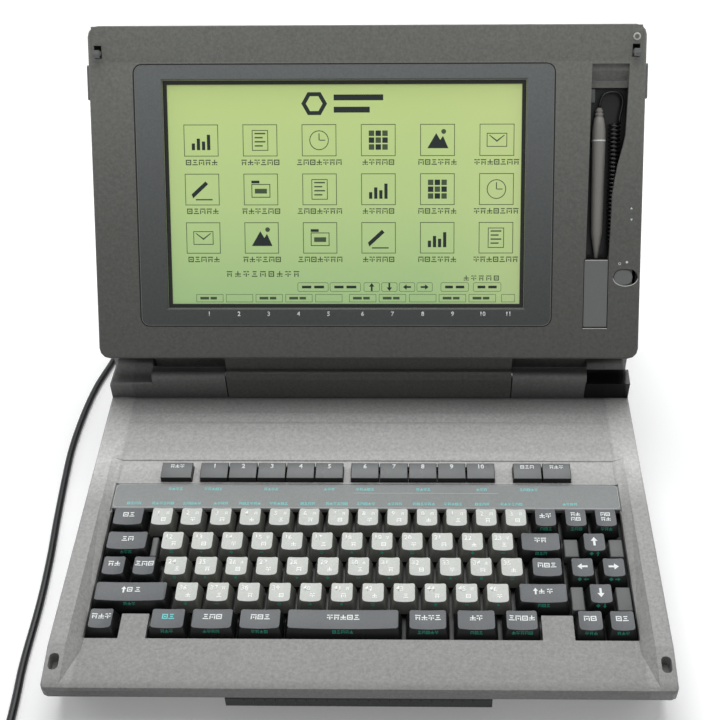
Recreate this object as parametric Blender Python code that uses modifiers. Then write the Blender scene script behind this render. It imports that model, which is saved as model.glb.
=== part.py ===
# Electronic word processor with a hinged lid, a pen screen and a built-in printer.
# Metres, +Z up, X to the right, the user sits on the -Y side. The origin is on the table,
# midway between the front and the back of the case.

import bisect
from math import atan2, ceil, cos, hypot, pi, radians, sin, tau

import bmesh
import bpy
from mathutils import Matrix, Vector

# Fits and edges
fit_gap = 0.0003
overrun = 0.003
edge_round = 0.0012
foot_height = 0.004

# Keys. Their rows and columns are given in pitches from the first key of the number row, whose
# caps' tops lie in the plane of the deck.
key_pitch = 0.019
key_spacing = 0.0061
key_row_spacing = 0.0064
key_side_taper = 0.0022
key_front_taper = 0.0040
key_back_taper = 0.0016
key_height = 0.0085
key_corner = 0.0012
key_edge = 0.0006
key_travel = 0.003
stem_size = 0.0046
stem_below_plate = 0.0007
plate_thick = 0.0016
plate_rim = 0.0015
plate_margin = 0.0022
filler_z = -0.0035
keyboard_half_share = 8.7105
first_key_share = 1.8263
key_top_width = key_pitch - key_spacing
key_top_depth = key_pitch - key_row_spacing

# Rows of light character keys: count and stagger in pitches from the number row
character_rows = [(13, 0.0), (12, 0.5), (12, 0.75), (11, 1.25)]

# Dark keys: name, row, centre and width in pitches of the number row
dark_keys = [
    ("key_width_mode", 0, -1.15, 1.30), ("key_backspace", 0, 13.0, 1.0),
    ("key_overwrite", 0, 14.02, 1.0), ("key_select", 0, 15.03, 1.0),
    ("key_tab", 1, -1.02, 1.62), ("key_return", 1, 12.76, 1.57), ("key_arrow_up", 1, 14.54, 1.0),
    ("key_latin", 2, -1.29, 1.02), ("key_lock", 2, -0.29, 1.0), ("key_script", 2, 12.9, 1.25),
    ("key_arrow_left", 2, 14.05, 1.0), ("key_arrow_right", 2, 15.07, 1.0),
    ("key_shift_left", 3, -0.56, 2.6), ("key_shift_right", 3, 12.70, 1.82),
    ("key_arrow_down", 3, 14.54, 1.0),
    ("key_repeat", 4, -1.337, 1.037), ("key_function", 4, 0.79, 1.35),
    ("key_previous", 4, 2.19, 1.58), ("key_keep", 4, 3.71, 1.57), ("key_convert", 4, 6.33, 3.8),
    ("key_space", 4, 9.0, 1.47), ("key_cancel", 4, 10.52, 1.48), ("key_plain", 4, 11.95, 1.28),
    ("key_release", 4, 14.1, 1.05), ("key_run", 4, 15.1, 1.05)]

# Blank fillers beside keys: left, right, front and back in pitches
filler_shares = [(-0.2158, -0.0105, -1.5316, -0.7632), (13.5474, 14.0105, -1.4947, -0.7895),
                 (15.0421, 15.4895, -1.4947, -0.7895), (13.6053, 14.0105, -3.5474, -2.6579),
                 (15.0526, 15.5158, -3.5474, -2.6579)]

# Tongues of the palm rest in the last row: centre and width in pitches
tongue_shares = [(-0.3026, 0.8684), (13.0895, 1.0)]
tongue_gap = 0.0021

# Key well and the case round it
well_front_gap = 0.0014
well_back_gap = 0.0004
rail_foot_inset = 0.0008
rail_slope_width = 0.0071
case_side = 0.0170
well_half = key_pitch * keyboard_half_share
first_key_x = key_pitch * first_key_share - well_half
row_span = key_pitch * len(character_rows)
well_front_y = -row_span - key_top_depth / 2 - key_front_taper - well_front_gap
well_back_y = key_top_depth / 2 + key_back_taper + well_back_gap
tongue_depth = key_pitch - tongue_gap
plate_half = well_half + plate_margin
rail_foot_x = well_half - rail_foot_inset
rail_top_x = rail_foot_x + rail_slope_width
half_width = well_half + case_side

# Keyboard deck: a plane tilted towards the user, through the tops of the keys.
# Places on the deck are given along it (y) and square to it (z) from the number row.
deck_tilt = radians(5.5)
deck_origin_height = 0.046
palm_depth = 0.0365
front_edge_z = 0.0010
rail_crease_depth = 0.0093
rail_level = 0.0026
rail_slope = -0.03
rail_front_round = 0.0035
deck_skirt_z = -0.007
deck_overlap = 0.003
palm_back_z = -0.0040
front_edge_y = well_front_y - palm_depth
rail_crease_y = well_front_y - rail_crease_depth

# Legend strip, function keys, sweep and wall behind the key well
strip_depth = 0.0202
strip_overlap = 0.0005
strip_z = -0.0035
strip_thick = 0.0008
function_gap = 0.0021
function_depth = 0.0126
function_front_z = 0.0006
function_back_z = 0.0015
function_edge = 0.0010
function_key_gap = 0.0007
function_sink = 0.0002
function_bar_thick = 0.0018
function_bar_margin = 0.004
shelf_behind = 0.0048
shelf_z = -0.0032
sweep_depth = 0.057
sweep_foot_z = -0.0024
sweep_crest_z = 0.00045
sweep_shares = [(0.01, 0.0), (0.12, 0.35), (0.25, 1.0), (0.40, 1.0), (0.54, 0.86),
                (0.60, 0.42), (0.66, 0.62), (0.72, 0.77), (0.79, 0.72), (1.0, 0.32)]
block_depth = 0.0205
strip_half = well_half + strip_overlap
strip_back_y = well_back_y + strip_depth
function_front_y = strip_back_y + function_gap
shelf_back_y = function_front_y + function_depth + shelf_behind
wall_y = shelf_back_y + sweep_depth
deck_back_y = wall_y + block_depth

# Function keys: left and right edge of each group in pitches from the middle, and its keys
function_group_shares = [(-7.1947, -6.1105, 1), (-5.8211, -0.8053, 5), (-0.5316, 4.4895, 5),
                         (5.1368, 7.1421, 2)]
function_groups = [(left_share * key_pitch, right_share * key_pitch, count)
                   for left_share, right_share, count in function_group_shares]

# Depth of the case: the deck's run and the printer's housing behind it
housing_depth = 0.1347
deck_origin_from_front = front_edge_z * sin(deck_tilt) - front_edge_y * cos(deck_tilt)
deck_run = (deck_origin_from_front + deck_back_y * cos(deck_tilt)
            - deck_skirt_z * sin(deck_tilt))
case_depth = deck_run + housing_depth
front_y = -case_depth / 2
back_y = case_depth / 2
deck_origin_y = front_y + deck_origin_from_front

# Hinge, lid and neck. The lid is drawn in its own frame: y runs up the screen from the hinge
# axis, z comes out of the screen.
hinge_setback = 0.0053
hinge_deck_z = 0.0174
lid_angle = radians(52.85)
lid_overhang = 0.0015
lid_front_overhang = 0.0002
lid_bottom = 0.0133
screen_face = 0.0176
lid_back_face = -0.0064
lid_parting = 0.00485
lid_corner = 0.007
lid_back_round = 0.0045
lid_wall = 0.0025
lip_width = 0.0237
lip_rise = 0.0036
neck_half = 0.0994
neck_gap = 0.0008
trough_gap = 0.00045
neck_front = 0.0053
neck_drop = 0.0184
neck_top = 0.0041
neck_join = 0.0045
pin_radius = 0.0025
pin_length = 0.036
hinge_deck_y = wall_y + hinge_setback
lid_half = half_width + lid_overhang
lid_top = hinge_deck_y - front_edge_y + lid_front_overhang
lip_start = lid_top - lip_width
trough_radius = hypot(neck_front, neck_drop) + trough_gap
plate_top_z = -key_height - key_travel - fit_gap - stem_below_plate
plate_bottom_z = plate_top_z - plate_thick

# Hinge shoulders, corner blocks and the status window
block_width = 0.0310
shoulder_top_z = 0.0213
shoulder_depth = 0.0108
block_top_z = 0.0132
block_rise = 0.0028
block_draft = 0.0022
block_edge = 0.0016
window_thick = 0.0012
window_depth = 0.012
window_sill_z = -0.0006
shoulder_outer_x = half_width - block_width
window_back_y = wall_y + window_depth

# Pen tub, in the lid's right side
tub_side = 0.0108
tub_width = 0.0275
tub_recess = 0.0105
tub_foot_margin = 0.0212
tub_top_margin = 0.0255
tub_ledge_setback = 0.0105
tub_ledge_depth = 0.0045
tub_ledge_z = 0.0105
tub_floor = 0.0046
tub_wall = 0.0013
tub_right = lid_half - tub_side
tub_left = tub_right - tub_width
tub_narrow = tub_right - tub_recess
tub_bottom = lid_bottom + tub_foot_margin
tub_top = lid_top - tub_top_margin
tub_ledge_high = tub_top - tub_ledge_setback
tub_ledge_low = tub_ledge_high - tub_ledge_depth

# Pen lever, and the step of the tub above it
lever_side = 0.00065
lever_foot = 0.0004
lever_length = 0.0457
lever_thick = 0.0030
slot_gap = 0.0005
tub_step_gap = 0.0019
lever_left = tub_left + lever_side
lever_right = tub_narrow - lever_side
lever_bottom = tub_bottom + lever_foot
lever_top = lever_bottom + lever_length
tub_step = lever_top + tub_step_gap

# Pen and its curly cord
pen_side = 0.0093
pen_z = 0.0102
pen_tip_gap = 0.0006
pen_loop_room = 0.0130
pen_tail_length = 0.0047
pen_cone_length = 0.0167
pen_radius = 0.0045
pen_low_radius = 0.0037
pen_tip_radius = 0.0009
pen_tail_radius = 0.0018
pen_neck_radius = 0.0027
pen_ring_width = 0.0012
curl_side = 0.0076
curl_drop = 0.0100
curl_foot = 0.0077
curl_z = 0.0092
curl_radius = 0.0032
curl_turns = 30
curl_points = 8
wire_radius = 0.0009
pen_x = tub_left + pen_side
pen_tip = lever_top + pen_tip_gap
pen_end = tub_ledge_low - pen_loop_room
pen_neck = pen_end - pen_tail_length
pen_ring = pen_neck - pen_cone_length
curl_x = tub_right - curl_side
curl_top = pen_end - curl_drop
curl_pitch = (curl_top - tub_step - curl_foot) / curl_turns

# Screen: the bezel lies between the lid's left margin and the tub
bezel_left_margin = 0.0292
tub_to_bezel = 0.0207
bezel_foot_margin = 0.0219
bezel_top_margin = 0.0246
bezel_side = 0.0190
bezel_foot = 0.0126
bezel_head = 0.0106
bezel_corner = 0.006
bezel_thick = 0.0028
view_chamfer = 0.0008
glass_inset = 0.0027
glass_recess = 0.0008
panel_margin = 0.0035
panel_thick = 0.0063
bezel_left = bezel_left_margin - lid_half
bezel_right = tub_left - tub_to_bezel
bezel_bottom = lid_bottom + bezel_foot_margin
bezel_top = lid_top - bezel_top_margin
screen_centre_x = (bezel_left + bezel_right) / 2
bezel_half = (bezel_right - bezel_left) / 2
view_half = bezel_half - bezel_side
view_bottom = bezel_bottom + bezel_foot
view_top = bezel_top - bezel_head

# Contrast knob
knob_side = 0.00995
knob_drop = 0.01375
knob_slot_width = 0.0165
knob_slot_height = 0.0111
knob_width = 0.0125
knob_flange = 0.0010
knob_thick = 0.0023
knob_x = lid_half - knob_side
knob_y = tub_step - knob_drop

# Latches, and the catches in the rails that they reach with the lid closed
latch_side = 0.0070
latch_drop = 0.0165
latch_stem = 0.0027
latch_nose = 0.0021
latch_width = 0.0040
latch_reach = 0.0072
latch_travel = 0.003
latch_plate_length = 0.0292
latch_plate_thick = 0.0035
pad_foot = 0.0020
pad_length = 0.0226
pad_proud = 0.0015
pad_thick = 0.0052
catch_play = 0.0010
catch_lead = 0.0007
catch_width = 0.006
catch_floor_z = -0.0045
latch_x = lid_half - latch_side
latch_hook_top = lid_top - latch_drop
latch_plate_low = latch_hook_top - latch_plate_length
pad_low = latch_plate_low - pad_foot
pad_high = pad_low + pad_length
catch_length = latch_stem + latch_nose + latch_travel + catch_play * 2
hook_middle = latch_hook_top + (latch_travel - latch_stem - latch_nose) / 2
catch_y = hinge_deck_y - hook_middle - catch_lead

# Printer housing, its cover and what it holds
housing_height = 0.088
housing_back_height = 0.086
housing_edge = 0.005
housing_back_round = 0.014
housing_wall = 0.003
housing_front_wall = 0.008
parting_drop = 0.00015
cover_front_margin = 0.0277
cover_setback = 0.032
cover_side = 0.0525
cover_thick = 0.0025
cover_gap = 0.0005
grip_half = 0.020
grip_depth = 0.006
paper_slot_inset = 0.005
paper_slot_depth = 0.007
paper_slot_setback = 0.008
platen_inset = 0.006
platen_setback = 0.023
platen_radius = 0.0105
platen_axle = 0.003
platen_z = 0.066
head_width = 0.012
head_depth = 0.0042
head_gap = 0.0040
carriage_width = 0.036
carriage_depth = 0.023
carriage_height = 0.020
carriage_rear_share = 0.58
shaft_radius = 0.0035
shaft_z = 0.060
side_plate_outset = 0.004
side_plate_thick = 0.003
side_plate_lead = 0.013
side_plate_lag = 0.016
side_plate_foot = 0.0535
cover_half = half_width - cover_side
cover_front_y = front_y + deck_run + cover_front_margin
cover_back_y = back_y - cover_setback
paper_slot_half = cover_half - paper_slot_inset
platen_half = cover_half - platen_inset
side_plate_x = cover_half + side_plate_outset
platen_y = cover_back_y - platen_setback
carriage_back_y = platen_y - platen_radius - head_gap - head_depth
shaft_y = carriage_back_y - carriage_depth * carriage_rear_share
side_plate_front = shaft_y - side_plate_lead
side_plate_back = platen_y + side_plate_lag

# Lower case, disk drive, switch and feet
tray_wall = 0.003
tray_front_foot = 0.0307
tray_edge = 0.004
nose_depth = 0.0452
drive_setback = 0.084
drive_width = 0.100
drive_length = 0.092
drive_height = 0.0245
drive_z = 0.0205
drive_slot_width = 0.093
drive_slot_height = 0.0046
drive_slot_depth = 0.060
drive_slot_rise = 0.0135
eject_width = 0.010
eject_height = 0.004
eject_length = 0.006
eject_proud = 0.0022
eject_travel = 0.0015
switch_setback = 0.097
switch_z = 0.068
switch_length = 0.016
switch_height = 0.009
switch_thick = 0.006
switch_proud = 0.0012
switch_rest = radians(6)
foot_radius = 0.009
foot_inset_x = 0.030
foot_inset_y = 0.045
drive_y = back_y - drive_setback
switch_y = back_y - switch_setback

# Carry handle
handle_half = 0.077
handle_bar_depth = 0.0097
handle_bar_low = 0.0175
handle_setback = 0.0010
handle_round = 0.0015
arm_width = 0.0100
arm_height = 0.0042
arm_length = 0.0315
arm_gap = 0.0006
recess_depth = 0.0190
recess_drop = 0.0050

# Power lead
lead_diameter = 0.005
relief_x = -0.140
relief_z = 0.022
relief_length = 0.024
relief_base_radius = 0.0058
relief_tip_radius = 0.0036
relief_flange = 0.008
relief_flange_thick = 0.0022
coil_points = 24
coil_in_turns = 2.875
coil_pitch = 0.0056
coil_outer = 0.0380
plug_length = 0.030
plug_width = 0.020
plug_height = 0.015
plug_collar = 0.010
plug_collar_radius = 0.0042
plug_corner = 0.003
blade_length = 0.017
blade_width = 0.0062
blade_thick = 0.0015
blade_spacing = 0.0127


def deck_to_world(y, z):
    """Place of a deck point in the world's Y and Z."""
    return (deck_origin_y + y * cos(deck_tilt) - z * sin(deck_tilt),
            deck_origin_height + y * sin(deck_tilt) + z * cos(deck_tilt))


hinge_y, hinge_z = deck_to_world(hinge_deck_y, hinge_deck_z)
lid_tilt = deck_tilt + lid_angle


# Scene, frames and materials

def clear_scene():
    for item in list(bpy.data.objects):
        bpy.data.objects.remove(item, do_unlink=True)


def new_collection(name):
    collection = bpy.data.collections.new(name)
    bpy.context.scene.collection.children.link(collection)
    return collection


def new_frame(name, location, tilt):
    """Empty that carries the pieces drawn in its own axes, turned about X."""
    frame = bpy.data.objects.new(name, None)
    frame.location = location
    frame.rotation_euler = (tilt, 0, 0)
    parts.objects.link(frame)
    return frame


def new_material(name, finish_values):
    """Material of one piece, from the colour, roughness and metallic value of its finish."""
    colour, roughness, metallic = finish_values
    material = bpy.data.materials.new(name)
    material.use_nodes = True
    shader = material.node_tree.nodes["Principled BSDF"]
    shader.inputs["Base Color"].default_value = (*colour, 1)
    shader.inputs["Roughness"].default_value = roughness
    shader.inputs["Metallic"].default_value = metallic
    return material


clear_scene()
parts = new_collection("word_processor")
cutters = new_collection("cutters")
deck_frame = new_frame("deck_frame", (0, deck_origin_y, deck_origin_height), deck_tilt)
lid_frame = new_frame("lid_frame", (0, hinge_y, hinge_z), lid_tilt)

case_grey = ((0.30, 0.295, 0.28), 0.6, 0.0)
lid_grey = ((0.12, 0.12, 0.11), 0.6, 0.0)
bezel_grey = ((0.09, 0.10, 0.12), 0.5, 0.0)
lcd_green = ((0.45, 0.60, 0.25), 0.3, 0.0)
key_light = ((0.50, 0.52, 0.52), 0.5, 0.0)
key_dark = ((0.07, 0.08, 0.10), 0.45, 0.0)
gloss_black = ((0.01, 0.01, 0.01), 0.15, 0.0)
rubber_black = ((0.02, 0.02, 0.02), 0.8, 0.0)
steel = ((0.6, 0.6, 0.6), 0.35, 1.0)
pen_grey = ((0.22, 0.21, 0.20), 0.5, 0.0)
strip_grey = ((0.16, 0.17, 0.18), 0.5, 0.0)


# Modelling helpers

def finish(name, bm, material=None, frame=None):
    """Object from a bmesh: a named piece, or a cutter when it has no material."""
    bmesh.ops.recalc_face_normals(bm, faces=bm.faces)
    mesh = bpy.data.meshes.new(name)
    bm.to_mesh(mesh)
    bm.free()
    item = bpy.data.objects.new(name, mesh)
    if material:
        mesh.materials.append(new_material(name, material))
        parts.objects.link(item)
    else:
        cutters.objects.link(item)
        item.hide_render = True
        item.display_type = "WIRE"
    if frame:
        item.parent = frame
    return item


def extruded(name, outline, axis, start, stop, material=None, frame=None):
    """Flat outline drawn as a filled curve square to an axis, thick from start to stop."""
    curve = bpy.data.curves.new(name, "CURVE")
    curve.dimensions = "2D"
    curve.fill_mode = "BOTH"
    curve.extrude = abs(stop - start) / 2
    spline = curve.splines.new("POLY")
    spline.points.add(len(outline) - 1)
    for place, point in zip(spline.points, outline):
        place.co = (*point, 0, 1)
    spline.use_cyclic_u = True
    drawn = bpy.data.objects.new(name, curve)
    mesh = bpy.data.meshes.new_from_object(drawn)
    bm = bmesh.new()
    bm.from_mesh(mesh)
    bpy.data.meshes.remove(mesh)
    bpy.data.objects.remove(drawn)
    bmesh.ops.remove_doubles(bm, verts=bm.verts, dist=fit_gap / 100)
    columns = {"X": (1, 2, 0), "Y": (0, 2, 1), "Z": (0, 1, 2)}[axis]
    turn = Matrix.Identity(4)
    for column, row in enumerate(columns):
        turn.col[column] = [float(k == row) for k in range(4)]
    turn.translation[columns[2]] = (start + stop) / 2
    bm.transform(turn)
    return finish(name, bm, material, frame)


def box(name, low, high, material=None, frame=None, bevel=0.0):
    """Box between two corners, with its edges bevelled where asked."""
    bm = bmesh.new()
    bmesh.ops.create_cube(bm, size=1)
    size = [b - a for a, b in zip(low, high)]
    centre = [(a + b) / 2 for a, b in zip(low, high)]
    bmesh.ops.scale(bm, verts=bm.verts, vec=size)
    bmesh.ops.translate(bm, verts=bm.verts, vec=centre)
    if bevel:
        bmesh.ops.bevel(bm, geom=bm.edges, offset=bevel, segments=1, affect="EDGES")
    return finish(name, bm, material, frame)


def loft(name, rings, material=None, frame=None):
    """Closed body through rings with equal numbers of points, capped at both ends."""
    bm = bmesh.new()
    loops = [[bm.verts.new(point) for point in ring] for ring in rings]
    for low, high in zip(loops, loops[1:]):
        for i, j in zip(range(len(low)), list(range(1, len(low))) + [0]):
            bm.faces.new((low[i], low[j], high[j], high[i]))
    bm.faces.new(loops[0])
    bm.faces.new(loops[-1])
    bmesh.ops.triangulate(bm, faces=[f for f in bm.faces if len(f.verts) == 4])
    return finish(name, bm, material, frame)


def turned(name, profile, centre, material=None, frame=None, sides=16, axis="X"):
    """Round body: (place along the axis, radius) pairs, spun about it by a Screw modifier."""
    bm = bmesh.new()
    ends = [(profile[0][0], 0)] + profile + [(profile[-1][0], 0)]
    order = (0, 1) if axis == "X" else (1, 0)
    verts = []
    for pair in ends:
        verts.append(bm.verts.new((pair[order[0]], pair[order[1]], 0)))
    for a, b in zip(verts, verts[1:]):
        bm.edges.new((b, a))
    item = finish(name, bm, material, frame)
    item.location = (0, *centre) if axis == "X" else (centre[0], 0, centre[1])
    screw = item.modifiers.new("turn", "SCREW")
    screw.axis = axis
    screw.steps = sides
    screw.render_steps = sides
    screw.use_merge_vertices = True
    screw.merge_threshold = fit_gap / 100
    return item


def set_origin(item, place):
    """Moves a piece's origin to its joint's axis; its shape stays where it is."""
    item.data.transform(Matrix.Translation([-v for v in place]))
    item.location = place


def boolean(target, tool, operation):
    modifier = target.modifiers.new(f"{operation.lower()}_{tool.name}", "BOOLEAN")
    modifier.operation = operation
    modifier.solver = "EXACT"
    modifier.object = tool


def cut(target, tool):
    boolean(target, tool, "DIFFERENCE")


def add(target, tool):
    boolean(target, tool, "UNION")


def rounded(outline, radius, steps=3):
    """Outline with an arc in place of each corner; radius may be one size or a list."""
    radii = radius if isinstance(radius, (list, tuple)) else [radius] * len(outline)
    points = []
    for index, corner in enumerate(outline):
        size = radii[index]
        if not size:
            points.append(corner)
            continue
        here = Vector(corner)
        back = (Vector(outline[index - 1]) - here).normalized()
        ahead = (Vector(outline[(index + 1) % len(outline)]) - here).normalized()
        half = back.angle(ahead) / 2
        middle = here + (back + ahead).normalized() * (size / sin(half))
        begin = here + back * (size * cos(half) / sin(half)) - middle
        end = here + ahead * (size * cos(half) / sin(half)) - middle
        for k in range(steps + 1):
            points.append(tuple(middle + begin.slerp(end, k / steps) * size))
    return points


def rectangle(left, right, low, high):
    return [(left, low), (right, low), (right, high), (left, high)]


def shade(item, angle=radians(40)):
    item.data.shade_smooth()
    item.data.set_sharp_from_angle(angle=angle)


# Deck cover

def rail_height(y):
    """Top of the side rails above the deck plane."""
    crease_z = rail_level + rail_slope * rail_crease_y
    if y < rail_crease_y:
        share = (y - front_edge_y) / (rail_crease_y - front_edge_y)
        return front_edge_z + share * (crease_z - front_edge_z)
    return rail_level + rail_slope * y


def seam_y():
    """Upright plane where the deck cover ends and the printer housing begins."""
    return deck_to_world(deck_back_y, deck_skirt_z)[0]


def deck_stations():
    """Places along the deck where its surface bends, with the height at each."""
    stations = [(front_edge_y, front_edge_z - edge_round),
                (front_edge_y + edge_round, front_edge_z),
                (well_front_y, palm_back_z), (well_back_y, strip_z),
                (shelf_back_y, shelf_z)]
    for along_share, rise_share in sweep_shares:
        y = shelf_back_y + along_share * (wall_y - shelf_back_y)
        z = sweep_foot_z + rise_share * (sweep_crest_z - sweep_foot_z)
        stations.append((y, z))
    stations.append((deck_back_y + deck_overlap, stations[-1][1]))
    return stations


def deck_height(y):
    """Height of the deck's middle at a place along it."""
    stations = deck_stations()
    index = bisect.bisect_right([s[0] for s in stations], y)
    index = max(1, min(index, len(stations) - 1))
    (y0, z0), (y1, z1) = stations[index - 1], stations[index]
    return z0 + (z1 - z0) * (y - y0) / (y1 - y0)


def deck_ring(y):
    """Cross-section of the deck: skirt, rail, inner slope, middle, and the same mirrored."""
    middle = deck_height(y)
    rail = max(rail_height(y), middle)
    edge = half_width
    if y <= front_edge_y:
        rail -= edge_round
        edge -= rail_front_round
    elif y < front_edge_y + rail_front_round:
        edge -= rail_front_round / 4
    half = [(edge, deck_skirt_z), (edge, rail - edge_round), (edge - edge_round, rail),
            (rail_top_x, rail), (rail_foot_x, middle)]
    left = [(-x, z) for x, z in half]
    return [(x, y, z) for x, z in half + left[::-1]]


def make_deck_cover():
    """Upper case: palm rest, rails, deck, wall, hinge shoulders and corner blocks."""
    places = {s[0] for s in deck_stations()}
    places |= {rail_crease_y, front_edge_y + rail_front_round}
    deck = loft("deck_cover", [deck_ring(y) for y in sorted(places)], case_grey, deck_frame)
    for side in (-1, 1):
        add(deck, make_shoulder(side))
        add(deck, make_block(side))
    cut(deck, box("cut_deck_back", (-half_width - overrun, seam_y(), foot_height),
                  (half_width + overrun, back_y, housing_height)))
    cut(deck, turned("cut_trough", [(-neck_half - neck_gap, trough_radius),
                                    (neck_half + neck_gap, trough_radius)],
                     (hinge_deck_y, hinge_deck_z), frame=deck_frame, sides=32))
    cut(deck, make_well_cutter())
    cut(deck, box("cut_strip", (-strip_half - fit_gap, well_back_y - overrun, strip_z - strip_thick),
                  (strip_half + fit_gap, strip_back_y + fit_gap, strip_z + overrun),
                  frame=deck_frame))
    for index, (left, right, count) in enumerate(function_groups):
        low = (left - fit_gap, function_front_y - fit_gap, deck_skirt_z - overrun)
        high = (right + fit_gap, function_front_y + function_depth + fit_gap, overrun)
        cut(deck, box(f"cut_function_{index}", low, high, frame=deck_frame))
    for side in (-1, 1):
        make_catch_and_pin_cuts(deck, side)
    make_window_cut(deck)
    pocket_low = (-rail_foot_x, strip_back_y + function_depth + function_bar_margin * 2,
                  deck_skirt_z - overrun)
    pocket_high = (rail_foot_x, wall_y - function_bar_margin, deck_skirt_z + strip_thick * 2)
    cut(deck, box("cut_deck_pocket", pocket_low, pocket_high, frame=deck_frame))
    shade(deck)


def shoulder_outline():
    """Side view of a hinge shoulder: flat front, rounded ridge, hollow behind."""
    back = wall_y + shoulder_depth
    return rounded([(wall_y, deck_skirt_z + strip_thick), (wall_y, shoulder_top_z),
                    (back, shoulder_top_z), (back, deck_skirt_z + strip_thick)],
                   [0, shoulder_depth * 0.42, shoulder_depth * 0.35, 0], 5)


def make_shoulder(side):
    inner = side * (neck_half + neck_gap)
    outer = side * shoulder_outer_x
    return extruded(f"shoulder_{side}", shoulder_outline(), "X", inner, outer, frame=deck_frame)


def block_ring(side, y, top, inward):
    """Cross-section of a corner block with drafted sides and softened top edges."""
    low = deck_skirt_z + strip_thick
    inner = shoulder_outer_x - block_edge + inward
    outer = half_width - inward
    points = [(inner, low), (inner + block_draft / 2, top - block_edge),
              (inner + block_draft, top), (outer - block_draft, top),
              (outer - block_draft / 4, top - block_edge), (outer, low)]
    return [(side * x, y, z) for x, z in points]


def make_block(side):
    rings = [block_ring(side, wall_y, block_top_z - block_edge / 2, 0),
             block_ring(side, wall_y + block_edge / 2, block_top_z, 0),
             block_ring(side, deck_back_y + deck_overlap, block_top_z + block_rise, block_draft)]
    return loft(f"block_{side}", rings, frame=deck_frame)


def make_well_cutter():
    """Opening for the keys, with two tongues of the palm rest left between them."""
    outline = [(-well_half, well_front_y)]
    for centre_share, width_share in tongue_shares:
        centre = first_key_x + centre_share * key_pitch
        left = centre - width_share * key_pitch / 2
        right = centre + width_share * key_pitch / 2
        outline += [(left, well_front_y), (left, well_front_y + tongue_depth),
                    (right, well_front_y + tongue_depth), (right, well_front_y)]
    outline += [(well_half, well_front_y), (well_half, well_back_y), (-well_half, well_back_y)]
    return extruded("cut_key_well", outline, "Z", deck_skirt_z - overrun, overrun * 2,
                    frame=deck_frame)


def make_catch_and_pin_cuts(deck, side):
    """Slot that takes the lid's hook, and the bore that holds a hinge pin."""
    centre = side * latch_x
    low = (centre - catch_width / 2, catch_y - catch_length / 2, catch_floor_z)
    high = (centre + catch_width / 2, catch_y + catch_length / 2, overrun * 3)
    slot = rounded(rectangle(low[0], high[0], low[1], high[1]), catch_width * 0.42, 3)
    cut(deck, extruded(f"cut_catch_{side}", slot, "Z", low[2], high[2], frame=deck_frame))
    start, stop = sorted((side * (neck_half - overrun), side * (pin_outer_x() + fit_gap)))
    cut(deck, turned(f"cut_pin_{side}", [(start, pin_radius + fit_gap), (stop, pin_radius + fit_gap)],
                     (hinge_deck_y, hinge_deck_z), frame=deck_frame))


def window_outline(gap):
    """Side view of the status window: a thin angle over the block's front and top."""
    front = wall_y - fit_gap - gap
    inner = wall_y + window_thick + gap
    top = block_top_z + fit_gap + gap
    under = block_top_z - window_thick - gap
    back = window_back_y + gap
    return [(front, window_sill_z - gap), (inner, window_sill_z - gap), (inner, under),
            (back, under), (back, top + block_rise * 0.6), (front, top)]


def make_window_cut(deck):
    left = shoulder_outer_x - fit_gap
    cut(deck, extruded("cut_window", window_outline(fit_gap), "X", left, half_width + overrun,
                       frame=deck_frame))


def make_status_window():
    window = extruded("status_window", window_outline(0), "X", shoulder_outer_x,
                      half_width - block_edge / 4, gloss_black, deck_frame)
    shade(window)


def make_legend_strip():
    outline = rounded(rectangle(-strip_half, strip_half, well_back_y + fit_gap, strip_back_y),
                      [0, 0, strip_depth / 8, strip_depth / 8])
    extruded("legend_strip", outline, "Z", strip_z - strip_thick + fit_gap, strip_z, strip_grey,
             deck_frame)


# Keys

def key_outline(width, inset=0.0, front=0.0, back=0.0, sides=0.0):
    """Octagon: a rectangle with its corners taken off, grown by the tapers."""
    x = width / 2 + sides - inset
    low = -key_top_depth / 2 - front + inset
    high = key_top_depth / 2 + back - inset
    c = key_corner
    return [(-x + c, low), (x - c, low), (x, low + c), (x, high - c),
            (x - c, high), (-x + c, high), (-x, high - c), (-x, low + c)]


def stem_outline():
    half = stem_size / 2
    c = stem_size / 8
    return [(-half + c, -half), (half - c, -half), (half, -half + c), (half, half - c),
            (half - c, half), (-half + c, half), (-half, half - c), (-half, -half + c)]


def cap_rings(x, y, width, foot_z, stem=False):
    """Rings of a key cap from its foot to the softened edge of its top."""
    base = key_outline(width, 0, key_front_taper, key_back_taper, key_side_taper)
    shoulder = key_outline(width)
    top = key_outline(width, key_edge)
    levels = [(base, foot_z), (shoulder, -key_edge), (top, 0)]
    if foot_z < -key_height:
        levels.insert(1, (base, -key_height))
    if stem:
        end = plate_bottom_z - stem_below_plate
        levels = [(stem_outline(), end), (stem_outline(), foot_z)] + levels
    return [[(x + px, y + py, z) for px, py in outline] for outline, z in levels]


def key_place(row, centre_pitches):
    return first_key_x + centre_pitches * key_pitch, -row * key_pitch


def key_top_of(width_pitches):
    """Width of a cap's top for a key that takes this many pitches."""
    return width_pitches * key_pitch - (key_pitch - key_top_width)


def make_dark_keys():
    """Keys that travel, each with a stem through the plate."""
    for name, row, centre, width in dark_keys:
        x, y = key_place(row, centre)
        cap = loft(name, [[(px - x, py - y, pz) for px, py, pz in ring]
                          for ring in cap_rings(x, y, key_top_of(width), -key_height, True)],
                   key_dark, deck_frame)
        cap.location = (x, y, 0)
        shade(cap)


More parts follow.
